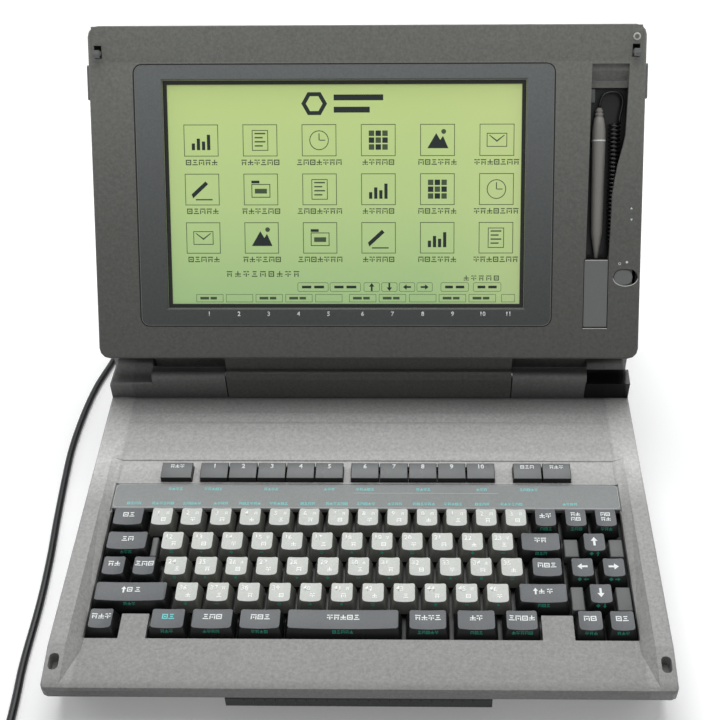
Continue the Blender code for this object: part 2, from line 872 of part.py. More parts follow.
def make_key_plate():
    """Pan under the keys, with the light character caps and the blank fillers on it."""
    front = well_front_y - plate_margin
    back = well_back_y + plate_margin
    top = deck_skirt_z - fit_gap
    plate = box("key_plate", (-plate_half, front, plate_bottom_z), (plate_half, back, top),
                key_light, deck_frame)
    cut(plate, box("cut_plate_pan", (-plate_half + plate_rim, front + plate_rim, plate_top_z),
                   (plate_half - plate_rim, back - plate_rim, overrun), frame=deck_frame))
    add(plate, make_character_caps())
    holes = bmesh.new()
    for name, row, centre, width in dark_keys:
        x, y = key_place(row, centre)
        size = stem_size + fit_gap * 2
        made = bmesh.ops.create_cube(holes, size=1)["verts"]
        bmesh.ops.scale(holes, verts=made, vec=(size, size, plate_thick + overrun * 2))
        bmesh.ops.translate(holes, verts=made, vec=(x, y, plate_bottom_z + plate_thick / 2))
    cut(plate, finish("cut_stem_holes", holes, frame=deck_frame))
    shade(plate)


def make_character_caps():
    """All light caps and fillers as one tool that is joined to the plate."""
    tool = bmesh.new()
    foot = plate_top_z - plate_thick / 4
    for row, (count, stagger) in enumerate(character_rows):
        for index in range(count):
            x, y = key_place(row, stagger + index)
            add_rings(tool, cap_rings(x, y, key_top_width, foot))
    for left_share, right_share, front_share, back_share in filler_shares:
        outline = rectangle(first_key_x + left_share * key_pitch,
                            first_key_x + right_share * key_pitch,
                            front_share * key_pitch, back_share * key_pitch)
        add_rings(tool, [[(x, y, z) for x, y in outline] for z in (foot, filler_z)])
    return finish("character_caps", tool, frame=deck_frame)


def add_rings(bm, rings):
    loops = [[bm.verts.new(point) for point in ring] for ring in rings]
    for low, high in zip(loops, loops[1:]):
        for i, j in zip(range(len(low)), list(range(1, len(low))) + [0]):
            bm.faces.new((low[i], low[j], high[j], high[i]))
    bm.faces.new(loops[0])
    bm.faces.new(loops[-1])


def function_outline():
    """Side view of a function key: upright front, long sloping top."""
    back = function_front_y + function_depth
    return [(function_front_y, deck_skirt_z - fit_gap - function_sink),
            (function_front_y, function_front_z - function_edge),
            (function_front_y + function_edge, function_front_z),
            (back - function_edge, function_back_z), (back, function_back_z - function_edge),
            (back, deck_skirt_z - fit_gap - function_sink)]


def make_function_keys():
    """Thirteen caps on the bar that carries them under the deck."""
    left = function_groups[0][0] - function_bar_margin
    right = function_groups[-1][1] + function_bar_margin
    top = deck_skirt_z - fit_gap
    low = (left, well_back_y + plate_margin * 2, top - function_bar_thick)
    high = (right, function_front_y + function_depth + function_bar_margin, top)
    bar = box("function_key_bar", low, high, key_dark, deck_frame)
    for group, (start, stop, count) in enumerate(function_groups):
        pitch = (stop - start + function_key_gap) / count
        for index in range(count):
            x = start + index * pitch
            add(bar, extruded(f"function_cap_{group}_{index}", function_outline(), "X", x,
                              x + pitch - function_key_gap, frame=deck_frame))
    shade(bar)


# Lid

def pin_outer_x():
    return neck_half + neck_gap / 2 + pin_length / 2


def neck_outline():
    """Side view of the neck, which hangs from the lid's foot and swings in the trough."""
    drop, reach, top = neck_drop, neck_front, neck_top
    hinge_side = [(-reach, -drop), (-reach, -reach * 0.1), (-reach * 0.8, top), (-reach * 0.5, top * 1.2),
                  (0, top * 1.2)]
    rear_side = [(reach * 1.5, -top * 0.2), (reach * 1.2, -drop * 0.7), (reach * 0.6, -drop)]
    join = lid_bottom + lid_wall / 2
    low = lid_parting + fit_gap / 2
    foot = [(join, low + neck_join), (join, low), (lid_bottom - fit_gap, low)]
    return to_lid(hinge_side) + foot + to_lid(rear_side)


def to_lid(points):
    """Points given around the hinge axis in the deck's frame, turned into the lid's."""
    return [(y * cos(lid_angle) + z * sin(lid_angle), z * cos(lid_angle) - y * sin(lid_angle))
            for y, z in points]


def lid_slab(name, low, high, material, edge, face):
    """Rounded slab of the lid between two depths, its outer edge softened on one face."""
    half = lid_half
    steps = 3
    full = rounded(rectangle(-half, half, lid_bottom, lid_top), lid_corner, steps)
    drawn = rounded(rectangle(-half + edge, half - edge, lid_bottom + edge, lid_top - edge),
                    max(lid_corner - edge, edge_round), steps)
    middle = rounded(rectangle(-half + edge * 0.3, half - edge * 0.3, lid_bottom + edge * 0.3,
                               lid_top - edge * 0.3), lid_corner - edge * 0.3, steps)
    levels = [(full, low), (full, high - edge), (middle, high - edge * 0.3), (drawn, high)]
    if face < 0:
        levels = [(drawn, low), (middle, low + edge * 0.3), (full, low + edge), (full, high)]
    rings = [[(x, y, z) for x, y in outline] for outline, z in levels]
    return loft(name, rings, material, lid_frame)


def hollow_lid(shell, low, high):
    """Takes out the inside of a lid shell between two depths."""
    half = lid_half - lid_wall
    outline = rounded(rectangle(-half, half, lid_bottom + lid_wall, lid_top - lid_wall),
                      lid_corner - lid_wall, 2)
    cut(shell, extruded(f"cut_inside_{shell.name}", outline, "Z", low, high, frame=lid_frame))


def make_lid_front():
    """Front shell: screen opening, pen tub, recesses, hook slots, lip and hinge neck."""
    plate_back = screen_face - lid_wall
    front = lid_slab("lid_front", lid_parting + fit_gap / 2, screen_face, lid_grey, edge_round, 1)
    hollow_lid(front, lid_parting - overrun, plate_back)
    lip_edge = lid_top - edge_round
    lip = [(lip_start, plate_back + edge_round), (lip_start, screen_face),
           (lip_edge, screen_face + lip_rise), (lip_edge, plate_back + edge_round)]
    lip_half = lid_half - lid_corner / 2
    add(front, extruded("lid_lip", lip, "X", -lip_half, lip_half, frame=lid_frame))
    add(front, extruded("lid_neck", neck_outline(), "X", -neck_half, neck_half, frame=lid_frame))
    add(front, extruded("tub_block", tub_plan(tub_wall), "Z", tub_floor - tub_wall,
                        plate_back + edge_round, frame=lid_frame))
    bezel_hole = rounded(rectangle(screen_centre_x - bezel_half, screen_centre_x + bezel_half,
                                   bezel_bottom, bezel_top), bezel_corner)
    cut(front, extruded("cut_bezel_hole", bezel_hole, "Z", plate_back - overrun,
                        screen_face + overrun * 2, frame=lid_frame))
    cut(front, make_tub_cutter(plate_back))
    cut(front, make_pen_opening(plate_back))
    knob = rounded(rectangle(knob_x - knob_slot_width / 2, knob_x + knob_slot_width / 2,
                             knob_y - knob_slot_height / 2, knob_y + knob_slot_height / 2),
                   knob_slot_height * 0.49)
    cut(front, extruded("cut_knob_slot", knob, "Z", plate_back - overrun,
                        screen_face + overrun, frame=lid_frame))
    for side in (-1, 1):
        cut_latch_slots(front, side, plate_back)
        start, stop = sorted((side * (pin_inner_x() - fit_gap), side * (neck_half + overrun)))
        bore = turned(f"cut_neck_bore_{side}", [(start, pin_radius + fit_gap),
                                                (stop, pin_radius + fit_gap)],
                      (0, 0), frame=lid_frame)
        cut(front, bore)
    shade(front)


def pin_inner_x():
    return neck_half + neck_gap / 2 - pin_length / 2


def tub_plan(grow):
    """Plan of the pen tub: wide beside the pen and its cord, narrow under the lever."""
    return [(tub_left - grow, tub_bottom - grow), (tub_narrow + grow, tub_bottom - grow),
            (tub_narrow + grow, tub_step - grow), (tub_right + grow, tub_step - grow),
            (tub_right + grow, tub_top + grow), (tub_left - grow, tub_top + grow)]


def make_tub_cutter(plate_back):
    """Inside of the pen tub: deep for the pen, with a ledge and a ramp at its top."""
    ramp_run = (plate_back - tub_ledge_z) * (tub_top - tub_ledge_high) / (screen_face - tub_ledge_z)
    side = [(tub_bottom, tub_floor), (tub_ledge_low, tub_floor), (tub_ledge_low, tub_ledge_z),
            (tub_ledge_high, tub_ledge_z), (tub_ledge_high + ramp_run, plate_back),
            (tub_bottom, plate_back)]
    tool = extruded("cut_tub", side, "X", tub_left, tub_right, frame=lid_frame)
    cut(tool, box("keep_tub_corner", (tub_narrow, tub_bottom - overrun, tub_floor - overrun),
                  (tub_right + overrun, tub_step, screen_face), frame=lid_frame))
    return tool


def make_pen_opening(plate_back):
    """Opening in the face over the tub: its right edge narrows towards the lever."""
    left = lever_left - slot_gap
    right = lever_right + slot_gap
    width = tub_right - right
    height = tub_top - lever_top
    taper_shares = [(0.97, 0.867), (0.86, 0.641), (0.72, 0.586), (0.43, 0.493), (0.28, 0.423),
                    (0.13, 0.337), (0.07, 0.142)]
    outline = [(left, lever_bottom - slot_gap), (right, lever_bottom - slot_gap),
               (right, lever_top + slot_gap)]
    for across_share, up_share in taper_shares[::-1]:
        outline.append((right + width * across_share, lever_top + height * up_share))
    outline += [(tub_right, tub_top), (tub_left + overrun, tub_top),
                (tub_left + tub_wall, lever_top + slot_gap), (left, lever_top + slot_gap)]
    return extruded("cut_pen_opening", outline, "Z", plate_back - fit_gap, screen_face + overrun,
                    frame=lid_frame)


def cut_latch_slots(front, side, plate_back):
    """Slot in the face for the hook's stem, and one in the side wall for the thumb pad."""
    centre = side * latch_x
    low = (centre - latch_width / 2 - slot_gap, latch_hook_top - latch_stem - latch_nose,
           plate_back - overrun)
    high = (centre + latch_width / 2 + slot_gap, latch_hook_top + latch_travel + slot_gap,
            screen_face + lip_rise + overrun)
    cut(front, box(f"cut_hook_slot_{side}", low, high, frame=lid_frame))
    start, stop = sorted((side * (lid_half - lid_wall - overrun),
                          side * (lid_half + overrun)))
    pad_z = latch_plate_z() + latch_plate_thick / 2
    cut(front, box(f"cut_pad_slot_{side}",
                   (start, pad_low - slot_gap, pad_z - pad_thick / 2 - slot_gap),
                   (stop, pad_high + latch_travel + slot_gap, pad_z + pad_thick / 2 + slot_gap),
                   frame=lid_frame))


def latch_plate_z():
    return screen_face - lid_wall - fit_gap - latch_plate_thick


def make_latch(side, name):
    """Hook, slider plate and thumb pad of a lid latch in one moulding."""
    half = lid_half
    low_z = latch_plate_z()
    inner = latch_x - latch_width / 2
    stem_low = latch_hook_top - latch_stem
    start, stop = sorted((side * inner, side * (half - lid_wall - slot_gap)))
    plate = box(name, (start, latch_plate_low, low_z),
                (stop, latch_hook_top, low_z + latch_plate_thick), case_grey, lid_frame)
    hook = [(stem_low, low_z + latch_plate_thick / 2), (latch_hook_top, low_z + latch_plate_thick / 2),
            (latch_hook_top, screen_face + latch_reach),
            (stem_low, screen_face + latch_reach),
            (stem_low - latch_nose, screen_face + latch_reach - latch_nose * 0.6),
            (stem_low - latch_nose, screen_face + latch_reach - latch_nose * 1.4),
            (stem_low, screen_face + latch_reach - latch_nose * 1.4)]
    a, b = sorted((side * inner, side * (inner + latch_width)))
    add(plate, extruded(f"hook_{name}", hook, "X", a, b, frame=lid_frame))
    pad_z = low_z + latch_plate_thick / 2
    a, b = sorted((side * (half - lid_wall * 1.5), side * (half + pad_proud)))
    pad = rounded(rectangle(pad_low, pad_high, pad_z - pad_thick / 2, pad_z + pad_thick / 2),
                  pad_thick / 4, 2)
    add(plate, extruded(f"pad_{name}", pad, "X", a, b, frame=lid_frame))
    shade(plate)


def make_lid_back():
    """Back shell with softened edges all round."""
    back = lid_slab("lid_back", lid_back_face, lid_parting - fit_gap / 2, lid_grey,
                    lid_back_round, -1)
    hollow_lid(back, lid_back_face + lid_wall, lid_parting + overrun)
    shade(back)


def make_hinge_pins():
    for side, name in ((-1, "hinge_pin_left"), (1, "hinge_pin_right")):
        start, stop = sorted((side * pin_inner_x(), side * pin_outer_x()))
        turned(name, [(start, pin_radius * 0.8), (start + pin_radius / 4, pin_radius),
                      (stop - pin_radius / 4, pin_radius), (stop, pin_radius * 0.8)],
               (0, 0), steel, lid_frame)


def make_screen():
    """Bezel plate with a chamfered window, and the LCD panel behind it."""
    gap = fit_gap * 1.5
    left, right = screen_centre_x - bezel_half + gap, screen_centre_x + bezel_half - gap
    outline = rounded(rectangle(left, right, bezel_bottom + gap, bezel_top - gap),
                      bezel_corner - gap)
    face = screen_face - fit_gap
    bezel = extruded("screen_bezel", outline, "Z", face - bezel_thick, face, bezel_grey, lid_frame)
    rings = []
    for grow, z in ((0, face - bezel_thick - overrun), (0, face - view_chamfer),
                    (view_chamfer, face), (view_chamfer, face + overrun)):
        window = rectangle(screen_centre_x - view_half - grow, screen_centre_x + view_half + grow,
                           view_bottom - grow, view_top + grow)
        rings.append([(x, y, z) for x, y in window])
    cut(bezel, loft("cut_view", rings, frame=lid_frame))
    shade(bezel)
    front = face - bezel_thick - fit_gap
    reach = view_half + panel_margin
    panel = box("lcd_panel", (screen_centre_x - reach, view_bottom - panel_margin,
                              front - panel_thick),
                (screen_centre_x + reach, view_top + panel_margin, front), lcd_green, lid_frame)
    glass = view_half - glass_inset
    cut(panel, box("cut_glass", (screen_centre_x - glass, view_bottom + glass_inset,
                                 front - glass_recess),
                   (screen_centre_x + glass, view_top - glass_inset, front + overrun),
                   frame=lid_frame))


def make_pen():
    """Pen lying in its tub: tip under the lever, ring, tail cone and cable grip."""
    profile = [(pen_tip, pen_tip_radius), (pen_tip + pen_radius * 0.7, pen_low_radius),
               (pen_ring - pen_ring_width, pen_radius), (pen_ring, pen_radius),
               (pen_neck, pen_neck_radius), (pen_neck + pen_ring_width, pen_tail_radius),
               (pen_end, pen_tail_radius)]
    turned("pen", profile, (pen_x, pen_z), pen_grey, lid_frame, 14, "Y")


def tube(name, points, radius, resolution, material, frame=None):
    """Wire through points, as a curve with filled ends."""
    curve = bpy.data.curves.new(name, "CURVE")
    curve.dimensions = "3D"
    curve.bevel_depth = radius
    curve.bevel_resolution = resolution
    curve.use_fill_caps = True
    spline = curve.splines.new("POLY")
    spline.points.add(len(points) - 1)
    for place, point in zip(spline.points, points):
        place.co = (*point, 1)
    curve.materials.append(new_material(name, material))
    wire = bpy.data.objects.new(name, curve)
    parts.objects.link(wire)
    if frame:
        wire.parent = frame
    return wire


def smooth_route(knots, spacing):
    """Points at an even spacing on a smooth curve through the knots."""
    knots = [Vector(k) for k in knots]
    ends = [knots[0] * 2 - knots[1]] + knots + [knots[-1] * 2 - knots[-2]]
    fine = []
    steps = 24
    for a, b, c, d in zip(ends, ends[1:], ends[2:], ends[3:]):
        for k in range(steps):
            t = k / steps
            fine.append(0.5 * (b * 2 + (c - a) * t + (a * 2 - b * 5 + c * 4 - d) * t * t
                               + (b * 3 - a - c * 3 + d) * t * t * t))
    fine.append(knots[-1])
    total = sum((q - p).length for p, q in zip(fine, fine[1:]))
    count = max(2, ceil(total / spacing))
    wanted = [total * k / count for k in range(count + 1)]
    points = []
    walked = 0
    index = 0
    for target in wanted:
        while index < len(fine) - 2 and walked + (fine[index + 1] - fine[index]).length < target:
            walked += (fine[index + 1] - fine[index]).length
            index += 1
        run = (fine[index + 1] - fine[index]).length
        share = min(1, (target - walked) / run) if run else 0
        points.append(tuple(fine[index].lerp(fine[index + 1], share)))
    return points


def least_self_gap(points, radius, skip):
    """Smallest clear distance between stretches of a tube that aren't neighbours."""
    vectors = [Vector(p) for p in points]
    least = min((a - b).length for i, a in enumerate(vectors) for b in vectors[i + skip:])
    return least - radius * 2


def make_pen_cord():
    """Cable from the pen's tail, over in a loop, down in curls and out through the tub's foot."""
    gap = fit_gap
    loop_top = tub_ledge_low - wire_radius * 3
    loop = [(pen_x, pen_end + gap, pen_z), (pen_x, pen_end + wire_radius * 2, pen_z),
            (pen_x + curl_radius * 0.9, loop_top - curl_radius * 0.5, pen_z),
            (curl_x + curl_radius * 0.3, loop_top, pen_z),
            (curl_x + curl_radius * 1.6, loop_top - curl_radius * 1.7, curl_z),
            (curl_x + curl_radius, curl_top + curl_pitch * 1.2, curl_z)]
    points = smooth_route(loop, curl_radius * 0.8)
    first = len(points)
    for k in range(curl_turns * curl_points + 1):
        turn = tau * k / curl_points
        points.append((curl_x + curl_radius * cos(turn), curl_top - curl_pitch * k / curl_points,
                       curl_z - curl_radius * sin(turn)))
    curls = points[first:]
    foot = curl_top - curl_pitch * curl_turns
    tail = tub_step + gap + wire_radius * 2
    points += smooth_route([(curl_x + curl_radius * 0.6, foot - curl_pitch * 0.7, curl_z),
                            (curl_x, (foot + tail) / 2, curl_z), (curl_x, tail, curl_z),
                            (curl_x, tub_step + gap, curl_z)], wire_radius * 2)
    print("pen cord least self gap", round(least_self_gap(curls, wire_radius, curl_points - 2), 5))
    tube("pen_cord", points, wire_radius, 1, rubber_black, lid_frame)


def make_pen_lever():
    """Rocker that covers the pen's tip."""
    face = screen_face - fit_gap
    side = rounded([(lever_bottom, face - lever_thick), (lever_top, face - lever_thick),
                    (lever_top, face), (lever_bottom, face)],
                   [0, 0, lever_thick / 4, lever_thick / 4], 2)
    lever = extruded("pen_lever", side, "X", lever_left, lever_right, pen_grey, lid_frame)
    shade(lever)
    set_origin(lever, ((lever_left + lever_right) / 2, (lever_bottom + lever_top) / 2,
                       face - lever_thick / 2))


def make_contrast_knob():
    """Slider pad in its oval slot, held behind the face by a flange."""
    plate_back = screen_face - lid_wall
    left = knob_x - knob_slot_width / 2 + slot_gap
    height = knob_slot_height - slot_gap * 2
    low, high = knob_y - height / 2, knob_y + height / 2
    flange_top = plate_back - fit_gap
    knob = box("contrast_knob", (left, low - knob_flange, flange_top - knob_thick),
               (left + knob_width, high + knob_flange, flange_top), pen_grey, lid_frame)
    pad = rounded(rectangle(left, left + knob_width, low, high), height * 0.48)
    rings = [[(x, y, z) for x, y in pad] for z in (flange_top - knob_thick / 2,
                                                   screen_face - slot_gap)]
    add(knob, loft("knob_pad", rings, frame=lid_frame))
    shade(knob)


# Printer housing

def parting_z():
    """Height of the seam between the lower case and the printer housing."""
    return deck_to_world(deck_back_y, deck_skirt_z)[1]


def housing_front_y():
    return seam_y() + fit_gap


def housing_outline(inset, front):
    """Side view of the printer housing; inset draws the inside of its walls."""
    low = parting_z() + parting_drop
    start = front
    back = back_y - inset
    crown = (start + back_y) / 2
    outline = [(start, low - (overrun if inset else 0)),
               (start, housing_height - housing_edge * 0.9 - inset),
               (crown, housing_height - inset), (back, housing_back_height - inset),
               (back, low - (overrun if inset else 0))]
    return rounded(outline, [0, housing_edge, 0, housing_back_round - inset, 0], 4)


def top_height(y):
    """Height of the housing's top surface between its crown and its back."""
    crown = (housing_front_y() + back_y) / 2
    share = abs(y - crown) / (back_y - crown)
    fall = housing_height - housing_back_height if y > crown else housing_edge * 0.9
    return housing_height - share * fall


def make_rear_housing():
    """Shell over the printer: bay, cover seat, paper slot, side plates and neck trough."""
    front = housing_front_y()
    side = half_width
    housing = extruded("rear_housing", housing_outline(0, front), "X", -side, side, case_grey)
    inner = side - housing_wall
    cut(housing, extruded("cut_housing_inside", housing_outline(housing_wall,
                                                               front + housing_front_wall),
                          "X", -inner, inner))
    for direction in (-1, 1):
        a, b = sorted((direction * side_plate_x, direction * (side_plate_x + side_plate_thick)))
        roof = housing_height - housing_wall / 2
        add(housing, box(f"side_plate_{direction}", (a, side_plate_front, side_plate_foot),
                         (b, side_plate_back, roof - housing_wall / 2)))
    cut(housing, turned("cut_housing_trough", [(-neck_half - neck_gap, trough_radius),
                                               (neck_half + neck_gap, trough_radius)],
                        (hinge_deck_y, hinge_deck_z), frame=deck_frame, sides=32))
    bay_low = (-cover_half - cover_gap, cover_front_y - cover_gap, housing_height / 2)
    bay_high = (cover_half + cover_gap, cover_back_y + cover_gap, housing_height + overrun)
    roof_z = housing_height - housing_edge - housing_wall * 2
    cut(housing, box("cut_bay", (bay_low[0], bay_low[1], roof_z), bay_high))
    slot_front = cover_back_y + paper_slot_setback
    cut(housing, box("cut_paper_slot", (-paper_slot_half, slot_front, roof_z - overrun),
                     (paper_slot_half, slot_front + paper_slot_depth, housing_height + overrun)))
    reach = side_plate_x + side_plate_thick + overrun
    for name, radius, y, z in (("platen", platen_axle, platen_y, platen_z),
                               ("shaft", shaft_radius, shaft_y, shaft_z)):
        cut(housing, turned(f"cut_{name}_bore", [(-reach, radius + fit_gap),
                                                 (reach, radius + fit_gap)], (y, z)))
    cut(housing, box("cut_switch", (-side - overrun, switch_y - switch_length / 2 - slot_gap,
                                    switch_z - switch_height / 2 - slot_gap),
                     (-side + housing_wall + overrun, switch_y + switch_length / 2 + slot_gap,
                      switch_z + switch_height / 2 + slot_gap)))
    shade(housing)


def make_printer_cover():
    """Flap over the bay, with a finger notch in front and hinge knuckles behind."""
    front = cover_front_y
    back = cover_back_y
    crown = (housing_front_y() + back_y) / 2
    top = [(front, top_height(front)), (crown, housing_height), (back, top_height(back))]
    under = [(back, top_height(back) - cover_thick), (crown, housing_height - cover_thick),
             (front, top_height(front) - cover_thick)]
    cover = extruded("printer_cover", top + under, "X", -cover_half, cover_half, case_grey)
    cut(cover, box("cut_grip", (-grip_half, front - overrun, top_height(front) - cover_thick * 2),
                   (grip_half, front + grip_depth, housing_height + overrun)))
    shade(cover)
    set_origin(cover, (0, back, top_height(back)))


def make_printer():
    """Platen roller, carriage shaft and the print head carriage between them."""
    axle_end = side_plate_x + side_plate_thick / 2
    profile = [(-axle_end, platen_axle), (-platen_half, platen_axle), (-platen_half, platen_radius),
               (platen_half, platen_radius), (platen_half, platen_axle), (axle_end, platen_axle)]
    turned("platen_roller", profile, (platen_y, platen_z), rubber_black, sides=20)
    turned("carriage_shaft", [(-axle_end, shaft_radius), (axle_end, shaft_radius)],
           (shaft_y, shaft_z), steel, sides=14)
    half = carriage_width / 2
    rear = carriage_rear_share
    low = (-half, shaft_y - carriage_depth * (1 - rear), shaft_z - carriage_height * (1 - rear))
    high = (half, shaft_y + carriage_depth * rear, shaft_z + carriage_height * rear)
    carriage = box("print_carriage", low, high, key_dark, bevel=edge_round)
    head_z = platen_z
    add(carriage, box("print_head", (-head_width / 2, high[1] - edge_round * 2,
                                     head_z - head_width / 2),
                      (head_width / 2, high[1] + head_depth, head_z + head_width / 2),
                      bevel=edge_round / 2))
    cut(carriage, turned("cut_carriage_bore", [(-half - overrun, shaft_radius + fit_gap),
                                               (half + overrun, shaft_radius + fit_gap)],
                         (shaft_y, shaft_z), sides=14))


def make_power_switch():
    """Rocker in the left side of the housing, resting on its rear half."""
    half = switch_length / 2
    face = -housing_wall - switch_thick / 2
    outline = [(0, -half * 0.7), (0, half * 0.7), (face + switch_thick / 2, half * 0.94),
               (face - switch_proud, half * 0.86), (face - switch_proud * 0.3, 0),
               (face - switch_proud, -half * 0.86), (face + switch_thick / 2, -half * 0.94)]
    switch = extruded("power_switch", outline, "Z", -switch_height / 2, switch_height / 2,
                      gloss_black)
    switch.location = (-half_width + housing_wall + switch_thick / 2, switch_y, switch_z)
    switch.rotation_euler = (0, 0, -switch_rest)


# Lower case

def tray_outline():
    """Side view of the lower case: slanting nose under the lip, flat bottom."""
    nose_y, nose_z = deck_to_world(front_edge_y + tray_wall, deck_skirt_z - parting_drop * 2)
    bend_y, bend_z = deck_to_world(deck_back_y, deck_skirt_z - parting_drop * 2)
    return [(nose_y, nose_z), (nose_y + tray_wall / 2, nose_z - tray_wall),
            (front_y + tray_front_foot, foot_height),
            (back_y - tray_edge, foot_height), (back_y, foot_height + tray_edge),
            (back_y, bend_z), (bend_y, bend_z)]


def make_base_tray():
    """Lower case: open tray, solid nose with the handle's recess and channels, drive bay."""
    tray = extruded("base_tray", tray_outline(), "X", -half_width, half_width, case_grey)
    inner_front = front_y + nose_depth
    step_y = deck_to_world(well_front_y - plate_margin, deck_skirt_z)[0]
    step_z = deck_to_world(well_front_y - plate_margin, plate_bottom_z - fit_gap)[1]
    top = parting_z() + overrun
    floor = foot_height + tray_wall
    inside = [(step_y - fit_gap * 2, top), (step_y - fit_gap * 2, step_z), (inner_front, step_z),
              (inner_front, floor), (back_y - tray_wall, floor), (back_y - tray_wall, top)]
    half = half_width - tray_wall
    cut(tray, extruded("cut_tray_inside", inside, "X", -half, half))
    recess_half = handle_half + arm_gap
    bar_low = handle_bar_low - arm_gap
    recess_back = front_y + recess_depth
    cut(tray, box("cut_handle_recess", (-recess_half, front_y - overrun, bar_low - recess_drop),
                  (recess_half, recess_back, handle_top_z() + overrun * 2)))
    for side in (-1, 1):
        a, b = sorted((side * (handle_half - arm_width - arm_gap), side * (handle_half + arm_gap)))
        bore_back = handle_bar_back() + arm_length + arm_gap
        cut(tray, box(f"cut_arm_{side}", (a, recess_back - overrun, bar_low),
                      (b, bore_back, handle_bar_low + arm_height + arm_gap)))
    cut(tray, box("cut_drive_mouth", (half_width - tray_wall - overrun,
                                      drive_y - drive_width / 2 - fit_gap, drive_z - fit_gap),
                  (half_width + overrun, drive_y + drive_width / 2 + fit_gap,
                   drive_z + drive_height + fit_gap)))
    add(tray, make_drive_stand())
    cut(tray, make_relief_hole())
    shade(tray)


def make_drive_stand():
    """Two ribs of the tray that the disk drive rests on, as one saddle."""
    low = foot_height + tray_wall / 2
    right = half_width - tray_wall * 2
    return box("drive_stand", (right - drive_length / 2, drive_y - drive_width / 4, low),
               (right, drive_y + drive_width / 4, drive_z - fit_gap))


def make_relief_hole():
    radius = relief_tip_radius + fit_gap
    profile = [(back_y - tray_wall - overrun, radius), (back_y + overrun, radius)]
    return turned("cut_relief", profile, (relief_x, relief_z), axis="Y")


def make_disk_drive():
    """Disk drive with its slot and the hole of its eject button in the front."""
    face = half_width - fit_gap / 2
    low = (face - drive_length, drive_y - drive_width / 2, drive_z)
    high = (face, drive_y + drive_width / 2, drive_z + drive_height)
    drive = box("disk_drive", low, high, case_grey)
    slot_low = drive_z + drive_slot_rise
    cut(drive, box("cut_disk_slot", (face - drive_slot_depth, drive_y - drive_slot_width / 2,
                                     slot_low),
                   (face + overrun, drive_y + drive_slot_width / 2,
                    slot_low + drive_slot_height)))
    place = eject_place()
    cut(drive, box("cut_eject", (face - eject_length - eject_travel - fit_gap,
                                 place[0] - eject_width / 2 - fit_gap,
                                 place[1] - eject_height / 2 - fit_gap),
                   (face + overrun, place[0] + eject_width / 2 + fit_gap,
                    place[1] + eject_height / 2 + fit_gap)))


def eject_place():
    return (drive_y + drive_width / 2 - eject_width,
            drive_z + drive_slot_rise / 2 - eject_height / 4)


def make_eject_button():
    y, z = eject_place()
    face = half_width - fit_gap / 2
    box("eject_button", (face - eject_length, y - eject_width / 2, z - eject_height / 2),
        (face + eject_proud, y + eject_width / 2, z + eject_height / 2), key_dark)


def make_feet():
    for end, y in (("front", front_y + tray_front_foot + foot_inset_y / 2),
                   ("rear", back_y - foot_inset_y)):
        for side, name in ((-1, "left"), (1, "right")):
            x = side * (half_width - foot_inset_x)
            bm = bmesh.new()
            height = foot_height - fit_gap
            bmesh.ops.create_cone(bm, cap_ends=True, segments=16, radius1=foot_radius * 0.92,
                                  radius2=foot_radius, depth=height)
            foot = finish(f"foot_{end}_{name}", bm, rubber_black)
            foot.location = (x, y, height / 2)
            shade(foot)


# Carry handle

def handle_top_z():
    return deck_to_world(front_edge_y, deck_skirt_z)[1] - fit_gap


def handle_bar_back():
    return front_y + handle_setback + handle_bar_depth


def make_handle():
    """U-shaped handle: a bar under the lip and two arms that slide into the tray."""
    bar_front = front_y + handle_setback
    side = rounded([(bar_front, handle_bar_low), (handle_bar_back(), handle_bar_low),
                    (handle_bar_back(), handle_top_z()), (bar_front, handle_top_z())],
                   handle_round, 2)
    handle = extruded("carry_handle", side, "X", -handle_half, handle_half, rubber_black)
    for direction in (-1, 1):
        a, b = sorted((direction * (handle_half - arm_width), direction * handle_half))
        add(handle, box(f"handle_arm_{direction}", (a, handle_bar_back() - handle_round * 2,
                                                    handle_bar_low),
                        (b, handle_bar_back() + arm_length, handle_bar_low + arm_height)))
    shade(handle)


# Power lead

# Route of the lead on the table, from its strain relief to the coil: behind the case, round its
# left rear corner and forward along its left side.
lead_route = [(-0.1400, 0.2185, 0.0220), (-0.1400, 0.2222, 0.0220), (-0.1402, 0.2302, 0.0204),
              (-0.1440, 0.2440, 0.0130), (-0.1560, 0.2560, 0.0050), (-0.1730, 0.2555, 0.0025),
              (-0.1880, 0.2400, 0.0025), (-0.1990, 0.2080, 0.0025), (-0.2060, 0.1700, 0.0025),
              (-0.2110, 0.1390, 0.0025), (-0.2175, 0.1080, 0.0025), (-0.2206, 0.0770, 0.0025),
              (-0.2215, 0.0400, 0.0025), (-0.2195, 0.0075, 0.0025), (-0.2160, -0.0320, 0.0025),
              (-0.2122, -0.0690, 0.0025), (-0.2098, -0.1060, 0.0025), (-0.2088, -0.1500, 0.0025),
              (-0.2070, -0.1740, 0.0025), (-0.2060, -0.1920, 0.0025), (-0.2055, -0.2200, 0.0025),
              (-0.2055, -0.2400, 0.0025)]
coil_centre = (-0.1675, -0.2500)
plug_start = (-0.1290, -0.2880)


def coil_mouth():
    """Straight start of the coil, a little before its first turn."""
    return (coil_centre[0] - coil_outer, coil_centre[1] + lead_diameter * 0.4, lead_diameter / 2)


def coil_route():
    """Spiral in on the table, up a layer where it reverses, and out again above it."""
    climb = 0.5
    total = coil_in_turns * 2 + climb
    count = round(total * coil_points)
    low = lead_diameter / 2
    inward = coil_in_turns + climb / 2
    points = [coil_mouth()]
    for k in range(count + 1):
        turns = k / coil_points
        radius = coil_outer - coil_pitch * (turns if turns < inward else 2 * inward - turns)
        rise = min(1, max(0, (turns - coil_in_turns) / climb))
        angle = pi + tau * turns
        points.append((coil_centre[0] + radius * cos(angle), coil_centre[1] + radius * sin(angle),
                       low + coil_pitch * rise))
    return points


